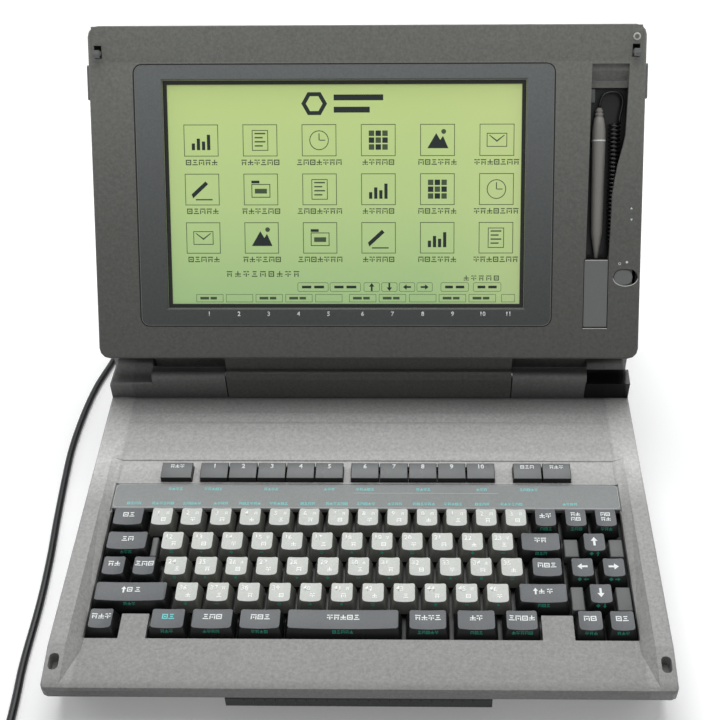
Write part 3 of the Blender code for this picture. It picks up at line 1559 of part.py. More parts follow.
def make_strain_relief():
    """Flange and tapered sleeve where the lead leaves the back of the case."""
    start = back_y + fit_gap
    flange_back = back_y + relief_flange_thick
    profile = [(start, relief_flange), (flange_back, relief_flange),
               (flange_back, relief_base_radius), (flange_back + relief_length, relief_tip_radius)]
    turned("strain_relief", profile, (relief_x, relief_z), rubber_black, None, 14, "Y")


def make_lead():
    x, y, z = coil_mouth()
    straight = lead_route[:1]
    bends = lead_route[1:] + [(x, y + fit_gap, z)]
    route = straight + smooth_route(bends, lead_diameter * 2.6)
    tube("power_cord", [(x, y, max(z, lead_diameter / 2)) for x, y, z in route], lead_diameter / 2, 2,
         rubber_black)
    coil = coil_route()
    length = sum((Vector(b) - Vector(a)).length for a, b in zip(route, route[1:]))
    wound = sum((Vector(b) - Vector(a)).length for a, b in zip(coil, coil[1:]))
    end = Vector(coil[-1])
    drop = Vector((end.x + lead_diameter * 2, end.y, end.z - lead_diameter * 0.2))
    near = Vector((plug_start[0] - lead_diameter * 2, plug_start[1], plug_height / 2))
    tail = smooth_route([end, drop, near, (plug_start[0] - fit_gap, plug_start[1],
                                           plug_height / 2)], lead_diameter * 1.2)
    print("lead: free", round(length, 4), "wound", round(wound, 4))
    print("coil least self gap", round(least_self_gap(coil, lead_diameter / 2, coil_points // 2), 5))
    tube("cord_coil", coil + tail[1:], lead_diameter / 2, 1, rubber_black)


def make_plug():
    """Two-blade plug lying beside the coil."""
    x, y = plug_start
    middle = plug_height / 2

    def ring(along, wide, high, corner):
        outline = rounded(rectangle(-wide / 2, wide / 2, -high / 2, high / 2), corner, 2)
        return [(x + along, y + a, middle + b) for a, b in outline]

    grip = plug_collar_radius * 2
    rings = [ring(0, grip, grip, plug_corner), ring(plug_collar, grip, grip, plug_corner),
             ring(plug_collar, plug_width * 0.8, plug_height * 0.86, plug_corner),
             ring(plug_length, plug_width, plug_height, plug_corner)]
    plug = loft("plug", rings, rubber_black)
    for side in (-1, 1):
        low = (x + plug_length - overrun, y + side * blade_spacing / 2 - blade_thick / 2,
               middle - blade_width / 2)
        high = (x + plug_length + blade_length, y + side * blade_spacing / 2 + blade_thick / 2,
                middle + blade_width / 2)
        add(plug, box(f"blade_{side}", low, high))
    shade(plug)


make_deck_cover()
make_status_window()
make_legend_strip()
make_key_plate()
make_dark_keys()
make_function_keys()
make_lid_front()
make_lid_back()
make_hinge_pins()
make_latch(-1, "latch_left")
make_latch(1, "latch_right")
make_screen()
make_pen()
make_pen_cord()
make_pen_lever()
make_contrast_knob()
make_rear_housing()
make_printer_cover()
make_printer()
make_power_switch()
make_base_tray()
make_disk_drive()
make_eject_button()
make_feet()
make_handle()
make_strain_relief()
make_lead()
make_plug()
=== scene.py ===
# Looks of the notebook word processor: finishes, rounded key caps, legends, display, leads.
# Metres, +Z up, X to the right, the user sits on the -Y side, as in the CAD frame.

from math import atan2, ceil, cos, pi, radians, sin, tau

import bmesh
import bpy
from mathutils import Matrix, Vector


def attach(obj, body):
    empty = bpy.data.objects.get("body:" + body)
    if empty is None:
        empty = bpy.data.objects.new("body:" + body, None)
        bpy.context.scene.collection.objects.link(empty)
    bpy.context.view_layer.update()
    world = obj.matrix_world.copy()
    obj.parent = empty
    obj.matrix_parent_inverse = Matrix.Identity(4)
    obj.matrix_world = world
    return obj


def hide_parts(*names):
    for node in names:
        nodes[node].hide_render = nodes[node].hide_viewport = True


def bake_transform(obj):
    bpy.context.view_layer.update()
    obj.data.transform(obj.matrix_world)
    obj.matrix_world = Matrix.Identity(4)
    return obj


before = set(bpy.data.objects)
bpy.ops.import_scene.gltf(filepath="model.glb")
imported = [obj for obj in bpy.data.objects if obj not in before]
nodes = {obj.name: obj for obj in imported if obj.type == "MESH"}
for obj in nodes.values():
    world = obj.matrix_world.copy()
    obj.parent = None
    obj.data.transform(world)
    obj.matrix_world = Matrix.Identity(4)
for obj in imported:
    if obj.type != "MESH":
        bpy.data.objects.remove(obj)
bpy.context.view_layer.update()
bpy.context.scene.view_settings.view_transform = "Standard"
MM = 0.001

# The deck and the lid have axes of their own, as in the CAD source.
deck_matrix = Matrix.Translation((0, -0.0682847, 0.046)) @ Matrix.Rotation(radians(5.5), 4, "X")
hinge_point = Vector((0, 0.0398398, 0.0738917))
lid_matrix = Matrix.Translation(hinge_point) @ Matrix.Rotation(radians(58.35), 4, "X")

# Keys: places and widths in pitches of the number row, as in the CAD source.
key_pitch = 19.0 * MM
first_key_x = -130.8 * MM
cap_top_width = 12.9 * MM
cap_top_depth = 12.6 * MM
cap_height = 8.5 * MM
cap_side_taper = 2.2 * MM
cap_front_taper = 4.0 * MM
cap_back_taper = 1.6 * MM
cap_corner = 1.5 * MM
cap_edge = 0.45 * MM
dish_depth = 0.8 * MM
dish_curve = 4.0 * MM
character_rows = [(13, 0.0), (12, 0.5), (12, 0.75), (11, 1.25)]
dark_keys = [
    ("key_width_mode", 0, -1.15, 1.30), ("key_backspace", 0, 13.0, 1.0),
    ("key_overwrite", 0, 14.02, 1.0), ("key_select", 0, 15.03, 1.0),
    ("key_tab", 1, -1.02, 1.62), ("key_return", 1, 12.76, 1.57), ("key_arrow_up", 1, 14.54, 1.0),
    ("key_latin", 2, -1.29, 1.02), ("key_lock", 2, -0.29, 1.0), ("key_script", 2, 12.9, 1.25),
    ("key_arrow_left", 2, 14.05, 1.0), ("key_arrow_right", 2, 15.07, 1.0),
    ("key_shift_left", 3, -0.56, 2.6), ("key_shift_right", 3, 12.70, 1.82),
    ("key_arrow_down", 3, 14.54, 1.0),
    ("key_repeat", 4, -1.337, 1.037), ("key_function", 4, 0.79, 1.35),
    ("key_previous", 4, 2.19, 1.58), ("key_keep", 4, 3.71, 1.57), ("key_convert", 4, 6.33, 3.8),
    ("key_space", 4, 9.0, 1.47), ("key_cancel", 4, 10.52, 1.48), ("key_plain", 4, 11.95, 1.28),
    ("key_release", 4, 14.1, 1.05), ("key_run", 4, 15.1, 1.05)]
dark_codes = ["20", "23", "21two", "24two", "22", "25", "head_up", "21", "32", "34", "head_left",
              "head_right", "20up", "23up", "head_down", "31", "20", "32", "34", "55", "41", "23",
              "42", "24", "20"]
key_body = {key[0]: f"key_{index + 1:02d}" for index, key in enumerate(dark_keys)}
heads = {"head_right": 0.0, "head_up": pi / 2, "head_left": pi, "head_down": -pi / 2}
function_groups = [(-136.7, -116.1, 1), (-110.6, -15.3, 5), (-10.1, 85.3, 5), (97.6, 135.7, 2)]

# The display's lit field and the soft keys under it, in the lid's frame
view_left, view_right, view_low, view_high = -0.1331, 0.1033, 0.0505, 0.1968
soft_key_x = [-107.7, -87.4, -67.1, -46.8, -26.4, -3.3, 17.0, 37.6, 57.8, 78.1, 95.6]
lip_tilt = Matrix.Rotation(radians(9.1), 4, "X")

# Faces that carry print and fittings: four in the lid's frame, the others in the world
display_face, bezel_face, lid_face, lid_back_face = 0.0134, 0.0173, 0.0176, -0.0064
back_face, side_face, cover_face, tray_face, handle_face = 0.1921, 0.1825, 0.088, 0.004, -0.1910

# Pen and its curly cord, in the lid's frame
pen_x, pen_z = 0.154999, 0.0102
curl_x, curl_z, curl_top, curl_pitch = 0.165599, 0.0092, 0.1712, 0.0027
wire_radius = 0.9 * MM

# Power lead: the same route as the CAD solids
lead_diameter = 5.0 * MM
lead_exit = (-0.140, 0.2185, 0.022)
lead_route = [(-0.1400, 0.2222, 0.0220), (-0.1402, 0.2302, 0.0204), (-0.1440, 0.2440, 0.0130),
              (-0.1560, 0.2560, 0.0050), (-0.1730, 0.2555, 0.0025), (-0.1880, 0.2400, 0.0025),
              (-0.1990, 0.2080, 0.0025), (-0.2060, 0.1700, 0.0025), (-0.2110, 0.1390, 0.0025),
              (-0.2175, 0.1080, 0.0025), (-0.2206, 0.0770, 0.0025), (-0.2215, 0.0400, 0.0025),
              (-0.2195, 0.0075, 0.0025), (-0.2160, -0.0320, 0.0025), (-0.2122, -0.0690, 0.0025),
              (-0.2098, -0.1060, 0.0025), (-0.2088, -0.1500, 0.0025), (-0.2070, -0.1740, 0.0025),
              (-0.2060, -0.1920, 0.0025), (-0.2055, -0.2200, 0.0025),
              (-0.2055, -0.2400, 0.0025)]
coil_centre = (-0.1675, -0.2500)
coil_outer = 38.0 * MM
coil_pitch = 5.6 * MM
coil_in_turns = 2.875
plug_start = (-0.1290, -0.2880)
plug_middle = 7.5 * MM


# Camera, floor and light

def linear(red, green, blue):
    """Colour given as 0 to 255 in the picture's own scale."""
    def channel(value):
        value /= 255
        return value / 12.92 if value <= 0.04045 else ((value + 0.055) / 1.055) ** 2.4
    return (channel(red), channel(green), channel(blue), 1)


def set_camera():
    """The photograph's viewpoint: above the user's head, looking down at the open machine."""
    forward = Vector((-0.0184, 0.7668, -0.6418)).normalized()
    right = Vector((0.9998, 0.0147, -0.0111))
    right = (right - forward * right.dot(forward)).normalized()
    up = right.cross(forward)
    camera = bpy.data.cameras.new("camera")
    camera.sensor_width = 36
    camera.lens = 58.315
    camera.shift_x = -0.046
    camera.clip_start = 0.01
    placed = bpy.data.objects.new("camera", camera)
    turn = Matrix((right, up, -forward)).transposed().to_4x4()
    placed.matrix_world = Matrix.Translation((0.0321, -0.5791, 0.6047)) @ turn
    bpy.context.scene.collection.objects.link(placed)
    bpy.context.scene.camera = placed


def add_light(name, location, aim, size, power, colour=(1, 1, 1)):
    lamp = bpy.data.lights.new(name, "AREA")
    lamp.shape = "RECTANGLE"
    lamp.size, lamp.size_y = size
    lamp.energy = power
    lamp.color = colour
    placed = bpy.data.objects.new(name, lamp)
    placed.location = location
    away = Vector(location) - Vector(aim)
    placed.rotation_euler = away.to_track_quat("Z", "Y").to_euler()
    bpy.context.scene.collection.objects.link(placed)


def seen_directly(tree):
    """1 where the eye, a reflection or a clear material looks straight at the background."""
    path = tree.nodes.new("ShaderNodeLightPath")
    bounced = math_node(tree, "MAXIMUM", path.outputs["Is Glossy Ray"],
                        path.outputs["Is Transmission Ray"])
    return math_node(tree, "MAXIMUM", path.outputs["Is Camera Ray"], bounced)


def set_light():
    """Soft light from behind, from above and from both sides, in a white world."""
    add_light("softbox_behind", (0.0, 0.8, 1.5), (0, -0.05, 0.04), (1.7, 0.8), 18)
    add_light("softbox_above", (0.0, 0.0, 1.5), (0, 0, 0), (1.2, 0.9), 7)
    add_light("softbox_left", (-1.3, 0.1, 0.8), (0, 0, 0.05), (0.8, 0.8), 2.5)
    add_light("softbox_right", (1.3, 0.1, 0.8), (0, 0, 0.05), (0.8, 0.8), 2.5)
    world = bpy.data.worlds.new("studio")
    bpy.context.scene.world = world
    world.use_nodes = True
    links = world.node_tree.links
    made = world.node_tree.nodes
    ambient = made["Background"]
    ambient.inputs["Color"].default_value = (1, 1, 1, 1)
    ambient.inputs["Strength"].default_value = 0.25
    seen = made.new("ShaderNodeBackground")
    seen.inputs["Color"].default_value = (1, 1, 1, 1)
    seen.inputs["Strength"].default_value = 1.0
    mix = made.new("ShaderNodeMixShader")
    links.new(seen_directly(world.node_tree), mix.inputs["Fac"])
    links.new(ambient.outputs["Background"], mix.inputs[1])
    links.new(seen.outputs["Background"], mix.inputs[2])
    links.new(mix.outputs["Shader"], made["World Output"].inputs["Surface"])


def add_floor():
    """White table, a little brighter to the camera than its light makes it."""
    bpy.ops.mesh.primitive_plane_add(size=14, location=(0, 0, 0))
    floor = bpy.context.object
    floor.name = "floor"
    material = bpy.data.materials.new("table_white")
    material.use_nodes = True
    made = material.node_tree.nodes
    links = material.node_tree.links
    shader = made["Principled BSDF"]
    shader.inputs["Base Color"].default_value = (0.90, 0.905, 0.91, 1)
    shader.inputs["Roughness"].default_value = 0.9
    shader.inputs["Specular IOR Level"].default_value = 0.1
    glow = made.new("ShaderNodeEmission")
    glow.inputs["Color"].default_value = (1, 1, 1, 1)
    glow.inputs["Strength"].default_value = 0.18
    dark = made.new("ShaderNodeEmission")
    dark.inputs["Strength"].default_value = 0.0
    pick = made.new("ShaderNodeMixShader")
    both = made.new("ShaderNodeAddShader")
    links.new(seen_directly(material.node_tree), pick.inputs["Fac"])
    links.new(dark.outputs["Emission"], pick.inputs[1])
    links.new(glow.outputs["Emission"], pick.inputs[2])
    links.new(shader.outputs["BSDF"], both.inputs[0])
    links.new(pick.outputs["Shader"], both.inputs[1])
    links.new(both.outputs["Shader"], made["Material Output"].inputs["Surface"])
    floor.data.materials.append(material)


# Shader groups that several finishes share

def group_socket(group, name, direction, kind, value=None):
    socket = group.interface.new_socket(name=name, in_out=direction, socket_type=kind)
    if value is not None:
        socket.default_value = value
    return socket


def math_node(group, operation, first, second=None, third=None):
    node = group.nodes.new("ShaderNodeMath")
    node.operation = operation
    for index, value in enumerate((first, second, third)):
        if value is None:
            continue
        if isinstance(value, (int, float)):
            node.inputs[index].default_value = value
        else:
            group.links.new(value, node.inputs[index])
    return node.outputs[0]


def noise_node(group, place, scale, detail=2.0, roughness=0.5):
    node = group.nodes.new("ShaderNodeTexNoise")
    node.inputs["Detail"].default_value = detail
    node.inputs["Roughness"].default_value = roughness
    group.links.new(place, node.inputs["Vector"])
    if isinstance(scale, (int, float)):
        node.inputs["Scale"].default_value = scale
    else:
        group.links.new(scale, node.inputs["Scale"])
    return node.outputs["Fac"]


def make_moulded_grain():
    """Spark-eroded plastic: fine pimples, speckle in the colour, and marks of handling."""
    group = bpy.data.node_groups.new("moulded_grain", "ShaderNodeTree")
    group_socket(group, "Colour", "INPUT", "NodeSocketColor", (0.3, 0.3, 0.3, 1))
    group_socket(group, "Grain scale", "INPUT", "NodeSocketFloat", 1400.0)
    group_socket(group, "Grain depth", "INPUT", "NodeSocketFloat", 0.3)
    group_socket(group, "Speckle", "INPUT", "NodeSocketFloat", 0.06)
    group_socket(group, "Marks", "INPUT", "NodeSocketFloat", 0.06)
    group_socket(group, "Roughness", "INPUT", "NodeSocketFloat", 0.5)
    group_socket(group, "Colour", "OUTPUT", "NodeSocketColor")
    group_socket(group, "Roughness", "OUTPUT", "NodeSocketFloat")
    group_socket(group, "Normal", "OUTPUT", "NodeSocketVector")
    given = group.nodes.new("NodeGroupInput")
    result = group.nodes.new("NodeGroupOutput")
    place = group.nodes.new("ShaderNodeTexCoord").outputs["Object"]
    grain = noise_node(group, place, given.outputs["Grain scale"], 3.0, 0.6)
    coarse = math_node(group, "MULTIPLY", given.outputs["Grain scale"], 0.32)
    speckle = noise_node(group, place, coarse, 4.0, 0.75)
    cloud = noise_node(group, place, 14.0, 3.0, 0.55)
    rubbed = noise_node(group, place, 55.0, 4.0, 0.6)
    fleck = math_node(group, "SUBTRACT", speckle, 0.5)
    fleck = math_node(group, "MULTIPLY", fleck, given.outputs["Speckle"])
    worn = math_node(group, "ADD", math_node(group, "MULTIPLY", cloud, 0.7),
                     math_node(group, "MULTIPLY", rubbed, 0.3))
    worn = math_node(group, "SUBTRACT", worn, 0.5)
    tint = math_node(group, "MULTIPLY_ADD", worn, given.outputs["Marks"], 1.0)
    tint = math_node(group, "ADD", tint, math_node(group, "MULTIPLY", fleck, 4.0))
    shade = group.nodes.new("ShaderNodeVectorMath")
    shade.operation = "SCALE"
    group.links.new(given.outputs["Colour"], shade.inputs[0])
    group.links.new(tint, shade.inputs["Scale"])
    group.links.new(shade.outputs["Vector"], result.inputs["Colour"])
    rough = math_node(group, "MULTIPLY_ADD", worn, 0.5, given.outputs["Roughness"])
    group.links.new(rough, result.inputs["Roughness"])
    bump = group.nodes.new("ShaderNodeBump")
    bump.inputs["Distance"].default_value = 0.0001
    group.links.new(given.outputs["Grain depth"], bump.inputs["Strength"])
    group.links.new(grain, bump.inputs["Height"])
    group.links.new(bump.outputs["Normal"], result.inputs["Normal"])
    return group


moulded_grain = make_moulded_grain()


def finish_material(name, colour, roughness, grain=1400.0, depth=0.3, speckle=0.06, marks=0.06,
                    specular=0.3, metallic=0.0, coat=0.0):
    """Material with the shared grain group feeding a Principled shader."""
    material = bpy.data.materials.new(name)
    material.use_nodes = True
    made = material.node_tree.nodes
    links = material.node_tree.links
    shader = made["Principled BSDF"]
    shader.inputs["Specular IOR Level"].default_value = specular
    shader.inputs["Metallic"].default_value = metallic
    shader.inputs["Coat Weight"].default_value = coat
    shader.inputs["Coat Roughness"].default_value = 0.12
    group = made.new("ShaderNodeGroup")
    group.node_tree = moulded_grain
    group.inputs["Colour"].default_value = colour
    group.inputs["Grain scale"].default_value = grain
    group.inputs["Grain depth"].default_value = depth
    group.inputs["Speckle"].default_value = speckle
    group.inputs["Marks"].default_value = marks
    group.inputs["Roughness"].default_value = roughness
    links.new(group.outputs["Colour"], shader.inputs["Base Color"])
    links.new(group.outputs["Roughness"], shader.inputs["Roughness"])
    links.new(group.outputs["Normal"], shader.inputs["Normal"])
    return material


def make_three_tones():
    """Colour made darker or lighter along a line, for painted light and shade: three places and the
    tone at each.
    """
    group = bpy.data.node_groups.new("three_tones", "ShaderNodeTree")
    group_socket(group, "Colour", "INPUT", "NodeSocketColor", (0.3, 0.3, 0.3, 1))
    for name in ("Place", "Low place", "Middle place", "High place"):
        group_socket(group, name, "INPUT", "NodeSocketFloat", 0.0)
    for name in ("Low tone", "Middle tone", "High tone"):
        group_socket(group, name, "INPUT", "NodeSocketFloat", 1.0)
    group_socket(group, "Colour", "OUTPUT", "NodeSocketColor")
    given = group.nodes.new("NodeGroupInput").outputs
    result = group.nodes.new("NodeGroupOutput")
    halves = []
    rise = math_node(group, "SUBTRACT", given["High tone"], given["Middle tone"])
    for ends, tones in ((("Low place", "Middle place"), (given["Low tone"], given["Middle tone"])),
                        (("Middle place", "High place"), (0.0, rise))):
        half = group.nodes.new("ShaderNodeMapRange")
        group.links.new(given["Place"], half.inputs["Value"])
        for socket, end in zip(("From Min", "From Max"), ends):
            group.links.new(given[end], half.inputs[socket])
        for socket, tone in zip(("To Min", "To Max"), tones):
            if isinstance(tone, float):
                half.inputs[socket].default_value = tone
            else:
                group.links.new(tone, half.inputs[socket])
        halves.append(half.outputs["Result"])
    toned = group.nodes.new("ShaderNodeVectorMath")
    toned.operation = "SCALE"
    group.links.new(given["Colour"], toned.inputs[0])
    group.links.new(math_node(group, "ADD", *halves), toned.inputs["Scale"])
    group.links.new(toned.outputs["Vector"], result.inputs["Colour"])
    return group


three_tones = make_three_tones()


def object_place(tree, axis):
    """The place along one axis of the object, which every piece shares at rest."""
    split = tree.nodes.new("ShaderNodeSeparateXYZ")
    tree.links.new(tree.nodes.new("ShaderNodeTexCoord").outputs["Object"], split.inputs[0])
    return split.outputs["XYZ".index(axis)]


def shade_along(material, axis, steps):
    """Paints light and shade into a finish's colour along an axis: three places in metres, each with
    its tone.
    """
    tree = material.node_tree
    shader = tree.nodes["Principled BSDF"]
    given = shader.inputs["Base Color"].links[0].from_socket
    place = object_place(tree, axis)
    tones = tree.nodes.new("ShaderNodeGroup")
    tones.node_tree = three_tones
    tree.links.new(given, tones.inputs["Colour"])
    tree.links.new(math_node(tree, "ABSOLUTE", place) if axis == "X" else place,
                   tones.inputs["Place"])
    for name, (reach, tone) in zip(("Low", "Middle", "High"), steps):
        tones.inputs[name + " place"].default_value = reach
        tones.inputs[name + " tone"].default_value = tone
    tree.links.new(tones.outputs["Colour"], shader.inputs["Base Color"])


def shade_deck(steps):
    """Painted light and shade on the deck, from the front edge to the hinge, as a colour ramp."""
    tree = deck_finish.node_tree
    shader = tree.nodes["Principled BSDF"]
    given = shader.inputs["Base Color"].links[0].from_socket
    front, back = steps[0][0], steps[-1][0]
    peak = max(tone for place, tone in steps)
    along = tree.nodes.new("ShaderNodeMapRange")
    along.inputs["From Min"].default_value = front
    along.inputs["From Max"].default_value = back
    tree.links.new(object_place(tree, "Y"), along.inputs["Value"])
    ramp = tree.nodes.new("ShaderNodeValToRGB")
    while len(ramp.color_ramp.elements) < len(steps):
        ramp.color_ramp.elements.new(0.5)
    for element, (place, tone) in zip(ramp.color_ramp.elements, steps):
        element.position = (place - front) / (back - front)
        element.color = (tone / peak, tone / peak, tone / peak, 1)
    tree.links.new(along.outputs["Result"], ramp.inputs["Fac"])
    toned = tree.nodes.new("ShaderNodeVectorMath")
    toned.operation = "MULTIPLY"
    tree.links.new(given, toned.inputs[0])
    tree.links.new(ramp.outputs["Color"], toned.inputs[1])
    scaled = tree.nodes.new("ShaderNodeVectorMath")
    scaled.operation = "SCALE"
    scaled.inputs["Scale"].default_value = peak
    tree.links.new(toned.outputs["Vector"], scaled.inputs[0])
    tree.links.new(scaled.outputs["Vector"], shader.inputs["Base Color"])


def plain_print(name, colour, roughness=0.5):
    """Printed ink: flat colour with a slight unevenness."""
    return finish_material(name, colour, roughness, grain=3000.0, depth=0.05, speckle=0.03,
                           marks=0.05)


case_finish = finish_material("case_grey", linear(150, 150, 149), 0.48, 1500, 0.5, 0.26, 0.10)
deck_finish = finish_material("deck_grey", linear(150, 150, 149), 0.48, 1500, 0.5, 0.26, 0.10)
tray_finish = finish_material("tray_grey", linear(150, 150, 149), 0.48, 1500, 0.5, 0.26, 0.10)
lid_finish = finish_material("lid_grey", linear(97, 98, 94), 0.50, 1500, 0.45, 0.26, 0.08)
bezel_finish = finish_material("bezel_grey", linear(88, 91, 91), 0.45, 1800, 0.3, 0.16, 0.06)
border_finish = finish_material("screen_border", linear(26, 27, 26), 0.3, 2500, 0.05, 0.02, 0.04)
cap_finish = finish_material("cap_grey", linear(197, 200, 196), 0.45, 2200, 0.2, 0.10, 0.10)
slate_finish = finish_material("cap_slate", linear(95, 98, 101), 0.42, 2200, 0.25, 0.12, 0.10)
black_finish = finish_material("well_black", linear(22, 24, 23), 0.35, 2000, 0.15, 0.03, 0.05)
gloss_finish = finish_material("gloss_black", linear(6, 7, 6), 0.12, 3000, 0.02, 0.01, 0.03)
rubber_finish = finish_material("rubber_black", linear(34, 35, 36), 0.55, 1800, 0.25, 0.04, 0.08)
lead_finish = finish_material("lead_black", linear(22, 23, 26), 0.32, 2400, 0.08, 0.02, 0.05)
strip_finish = finish_material("strip_grey", linear(130, 134, 134), 0.4, 1800, 0.2, 0.12, 0.06)
pen_finish = finish_material("pen_grey", linear(142, 140, 135), 0.38, 2000, 0.12, 0.04, 0.08)
lever_finish = finish_material("lever_grey", linear(116, 118, 117), 0.45, 1800, 0.2, 0.05, 0.06)
# Painted shade under the deck's front lip and by the hinge walls under the lid, and a painted
# highlight on the sweep's crest.
shade_deck([(-0.2, 0.40), (-0.1905, 0.58), (-0.185, 0.80), (-0.170, 0.86), (-0.06, 0.92),
            (-0.024, 1.55), (0.0, 1.22), (0.026, 0.90), (0.034, 0.66), (0.0365, 0.22)])
# Painted highlight on the deck's rails, outboard of the keyboard.
shade_along(deck_finish, "X", [(0.1652, 1.0), (0.1660, 1.10), (0.1668, 1.20)])
# Painted shade on the tray's front, under the deck's front lip: darker towards the front.
shade_along(tray_finish, "Y", [(-0.19, 0.30), (-0.16, 0.55), (-0.12, 1.0)])
# Painted light on the lid, front and back: darker at its foot, lighter towards its top.
shade_along(lid_finish, "Z", [(0.08, 0.72), (0.17, 1.0), (0.28, 1.75)])
# Painted light on the bezel: darker at its foot, lighter towards its top.
shade_along(bezel_finish, "Z", [(0.11, 0.60), (0.17, 0.95), (0.27, 1.75)])
steel_finish = finish_material("turned_steel", linear(175, 176, 178), 0.32, 2600, 0.1, 0.03,
                               0.05, metallic=1.0)
# Painted shade: the light caps' sides are the tops' grey made darker, as the light falls on the tops.
cap_shaded_side_finish = finish_material("cap_grey_sides_painted_shade", linear(92, 93, 88), 0.5, 1500, 0.5, 0.22,
                                  0.08)
cap_black_finish = finish_material("cap_black_sides", linear(26, 28, 27), 0.3, 2000, 0.2, 0.03,
                                   0.05)
filler_finish = finish_material("filler_slate", linear(96, 98, 98), 0.45, 1600, 0.3, 0.06, 0.08)
function_finish = finish_material("function_grey", linear(102, 105, 106), 0.3, 2000, 0.12, 0.04, 0.06)
function_side_finish = finish_material("function_black", linear(20, 21, 20), 0.22, 2500, 0.1, 0.02,
                                       0.04)
lamp_finish = finish_material("lamp_green", linear(60, 120, 70), 0.15, 2500, 0.05, 0.02, 0.03)
# Painted highlight for an edge that catches the light.
edge_highlight_finish = finish_material("painted_edge_highlight", linear(190, 190, 186), 0.4, 2500, 0.1, 0.10, 0.20)
# Black for joints and gaps, and for painted shade in the grille recesses and screw crosses.
joint_and_shade_finish = finish_material("joint_and_shade_black", linear(18, 19, 18), 0.5, 2500, 0.1, 0.02, 0.03)
# Painted highlight for the inner side of the gap round the bezel.
bezel_highlight_finish = finish_material("bezel_painted_highlight", linear(132, 133, 130), 0.4, 2500, 0.1, 0.05, 0.10)
# Painted highlight for edges of recesses and of the lever that catch the light.
rim_highlight_finish = finish_material("recess_rim_highlight", linear(214, 217, 212), 0.35, 2500, 0.1, 0.05, 0.12)
boss_finish = finish_material("boss_pale", linear(205, 204, 198), 0.35, 2500, 0.1, 0.04, 0.10)
cord_finish = finish_material("curl_black", linear(24, 25, 25), 0.18, 2600, 0.05, 0.02, 0.04)
strip_line = plain_print("strip_line", linear(190, 194, 194))
cap_print = plain_print("cap_print", linear(246, 248, 246))
lcd_soft_print = plain_print("print_lcd_thin", linear(74, 92, 66))
white_print = plain_print("print_white", linear(232, 236, 236))
teal_print = plain_print("print_teal", linear(48, 168, 142))
cyan_print = plain_print("print_cyan", linear(112, 214, 214))
grey_print = plain_print("print_grey", linear(70, 74, 76))
lcd_print = plain_print("print_lcd", linear(28, 40, 38))


def make_display_material():
    """Reflective green display: paler at the top, yellower at the right edge, a fine grain in its
    surface.
    """
    material = bpy.data.materials.new("display_green")
    material.use_nodes = True
    tree = material.node_tree
    shader = tree.nodes["Principled BSDF"]
    place = tree.nodes.new("ShaderNodeTexCoord").outputs["Object"]
    split = tree.nodes.new("ShaderNodeSeparateXYZ")
    tree.links.new(place, split.inputs[0])
    up = tree.nodes.new("ShaderNodeMapRange")
    up.inputs["From Min"].default_value = 0.117
    up.inputs["From Max"].default_value = 0.243
    tree.links.new(split.outputs["Z"], up.inputs["Value"])
    ramp = tree.nodes.new("ShaderNodeValToRGB")
    ramp.color_ramp.elements[0].color = linear(160, 192, 136)
    ramp.color_ramp.elements[1].color = linear(192, 212, 138)
    middle = ramp.color_ramp.elements.new(0.5)
    middle.color = linear(182, 206, 140)
    tree.links.new(up.outputs["Result"], ramp.inputs["Fac"])
    side = tree.nodes.new("ShaderNodeMapRange")
    side.inputs["From Min"].default_value = 0.04
    side.inputs["From Max"].default_value = 0.104
    side.inputs["To Max"].default_value = 0.35
    tree.links.new(split.outputs["X"], side.inputs["Value"])
    warm = tree.nodes.new("ShaderNodeMix")
    warm.data_type = "RGBA"
    tree.links.new(side.outputs["Result"], warm.inputs["Factor"])
    tree.links.new(ramp.outputs["Color"], warm.inputs["A"])
    warm.inputs["B"].default_value = linear(205, 214, 150)
    tree.links.new(warm.outputs["Result"], shader.inputs["Base Color"])
    tree.links.new(warm.outputs["Result"], shader.inputs["Emission Color"])
    shader.inputs["Emission Strength"].default_value = 0.30
    shader.inputs["Roughness"].default_value = 0.32
    shader.inputs["Specular IOR Level"].default_value = 0.3
    grain = noise_node(tree, place, 900.0, 2.0)
    bump = tree.nodes.new("ShaderNodeBump")
    bump.inputs["Strength"].default_value = 0.03
    bump.inputs["Distance"].default_value = 0.0001
    tree.links.new(grain, bump.inputs["Height"])
    tree.links.new(bump.outputs["Normal"], shader.inputs["Normal"])
    return material


display_finish = make_display_material()


# Modelling helpers

def deselect():
    for item in bpy.context.selected_objects:
        item.select_set(False)


def activate(item):
    deselect()
    item.select_set(True)
    bpy.context.view_layer.objects.active = item


def apply_modifiers(item):
    activate(item)
    for modifier in list(item.modifiers):
        bpy.ops.object.modifier_apply(modifier=modifier.name)


def settle(item, matrix=None):
    """Puts the object's place into its mesh, and the object itself at the origin."""
    turn = item.matrix_basis.copy()
    item.data.transform((matrix or Matrix()) @ turn)
    item.matrix_basis = Matrix()


def dress(item, material, body, smooth=radians(35)):
    """Gives a finished piece its material, its shading and the body that it rides on."""
    item.data.materials.clear()
    item.data.materials.append(material)
    if smooth:
        activate(item)
        bpy.ops.object.shade_smooth_by_angle(angle=smooth)
    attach(item, body)
    return item


def join(name, items):
    """One object from several."""
    deselect()
    for item in items:
        item.select_set(True)
    bpy.context.view_layer.objects.active = items[0]
    if len(items) > 1:
        bpy.ops.object.join()
    items[0].name = name
    items[0].data.name = name
    return items[0]


def carried(piece, body):
    """Names the body that a piece rides on."""
    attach(piece, body)


def copy_of(item, offset):
    twin = item.copy()
    twin.data = item.data.copy()
    twin.data.transform(Matrix.Translation(offset))
    bpy.context.scene.collection.objects.link(twin)
    return twin


# Drawing in the plane, in millimetres: every mark is a list of closed outlines

def bar(left, low, right, high, step=None):
    """Rectangle; with a step its long sides have points all along, so that it can bend."""
    count = max(1, round((right - left) / step)) if step else 1
    along = [left + (right - left) * k / count for k in range(count + 1)]
    return [[(x, low) for x in along] + [(x, high) for x in reversed(along)]]


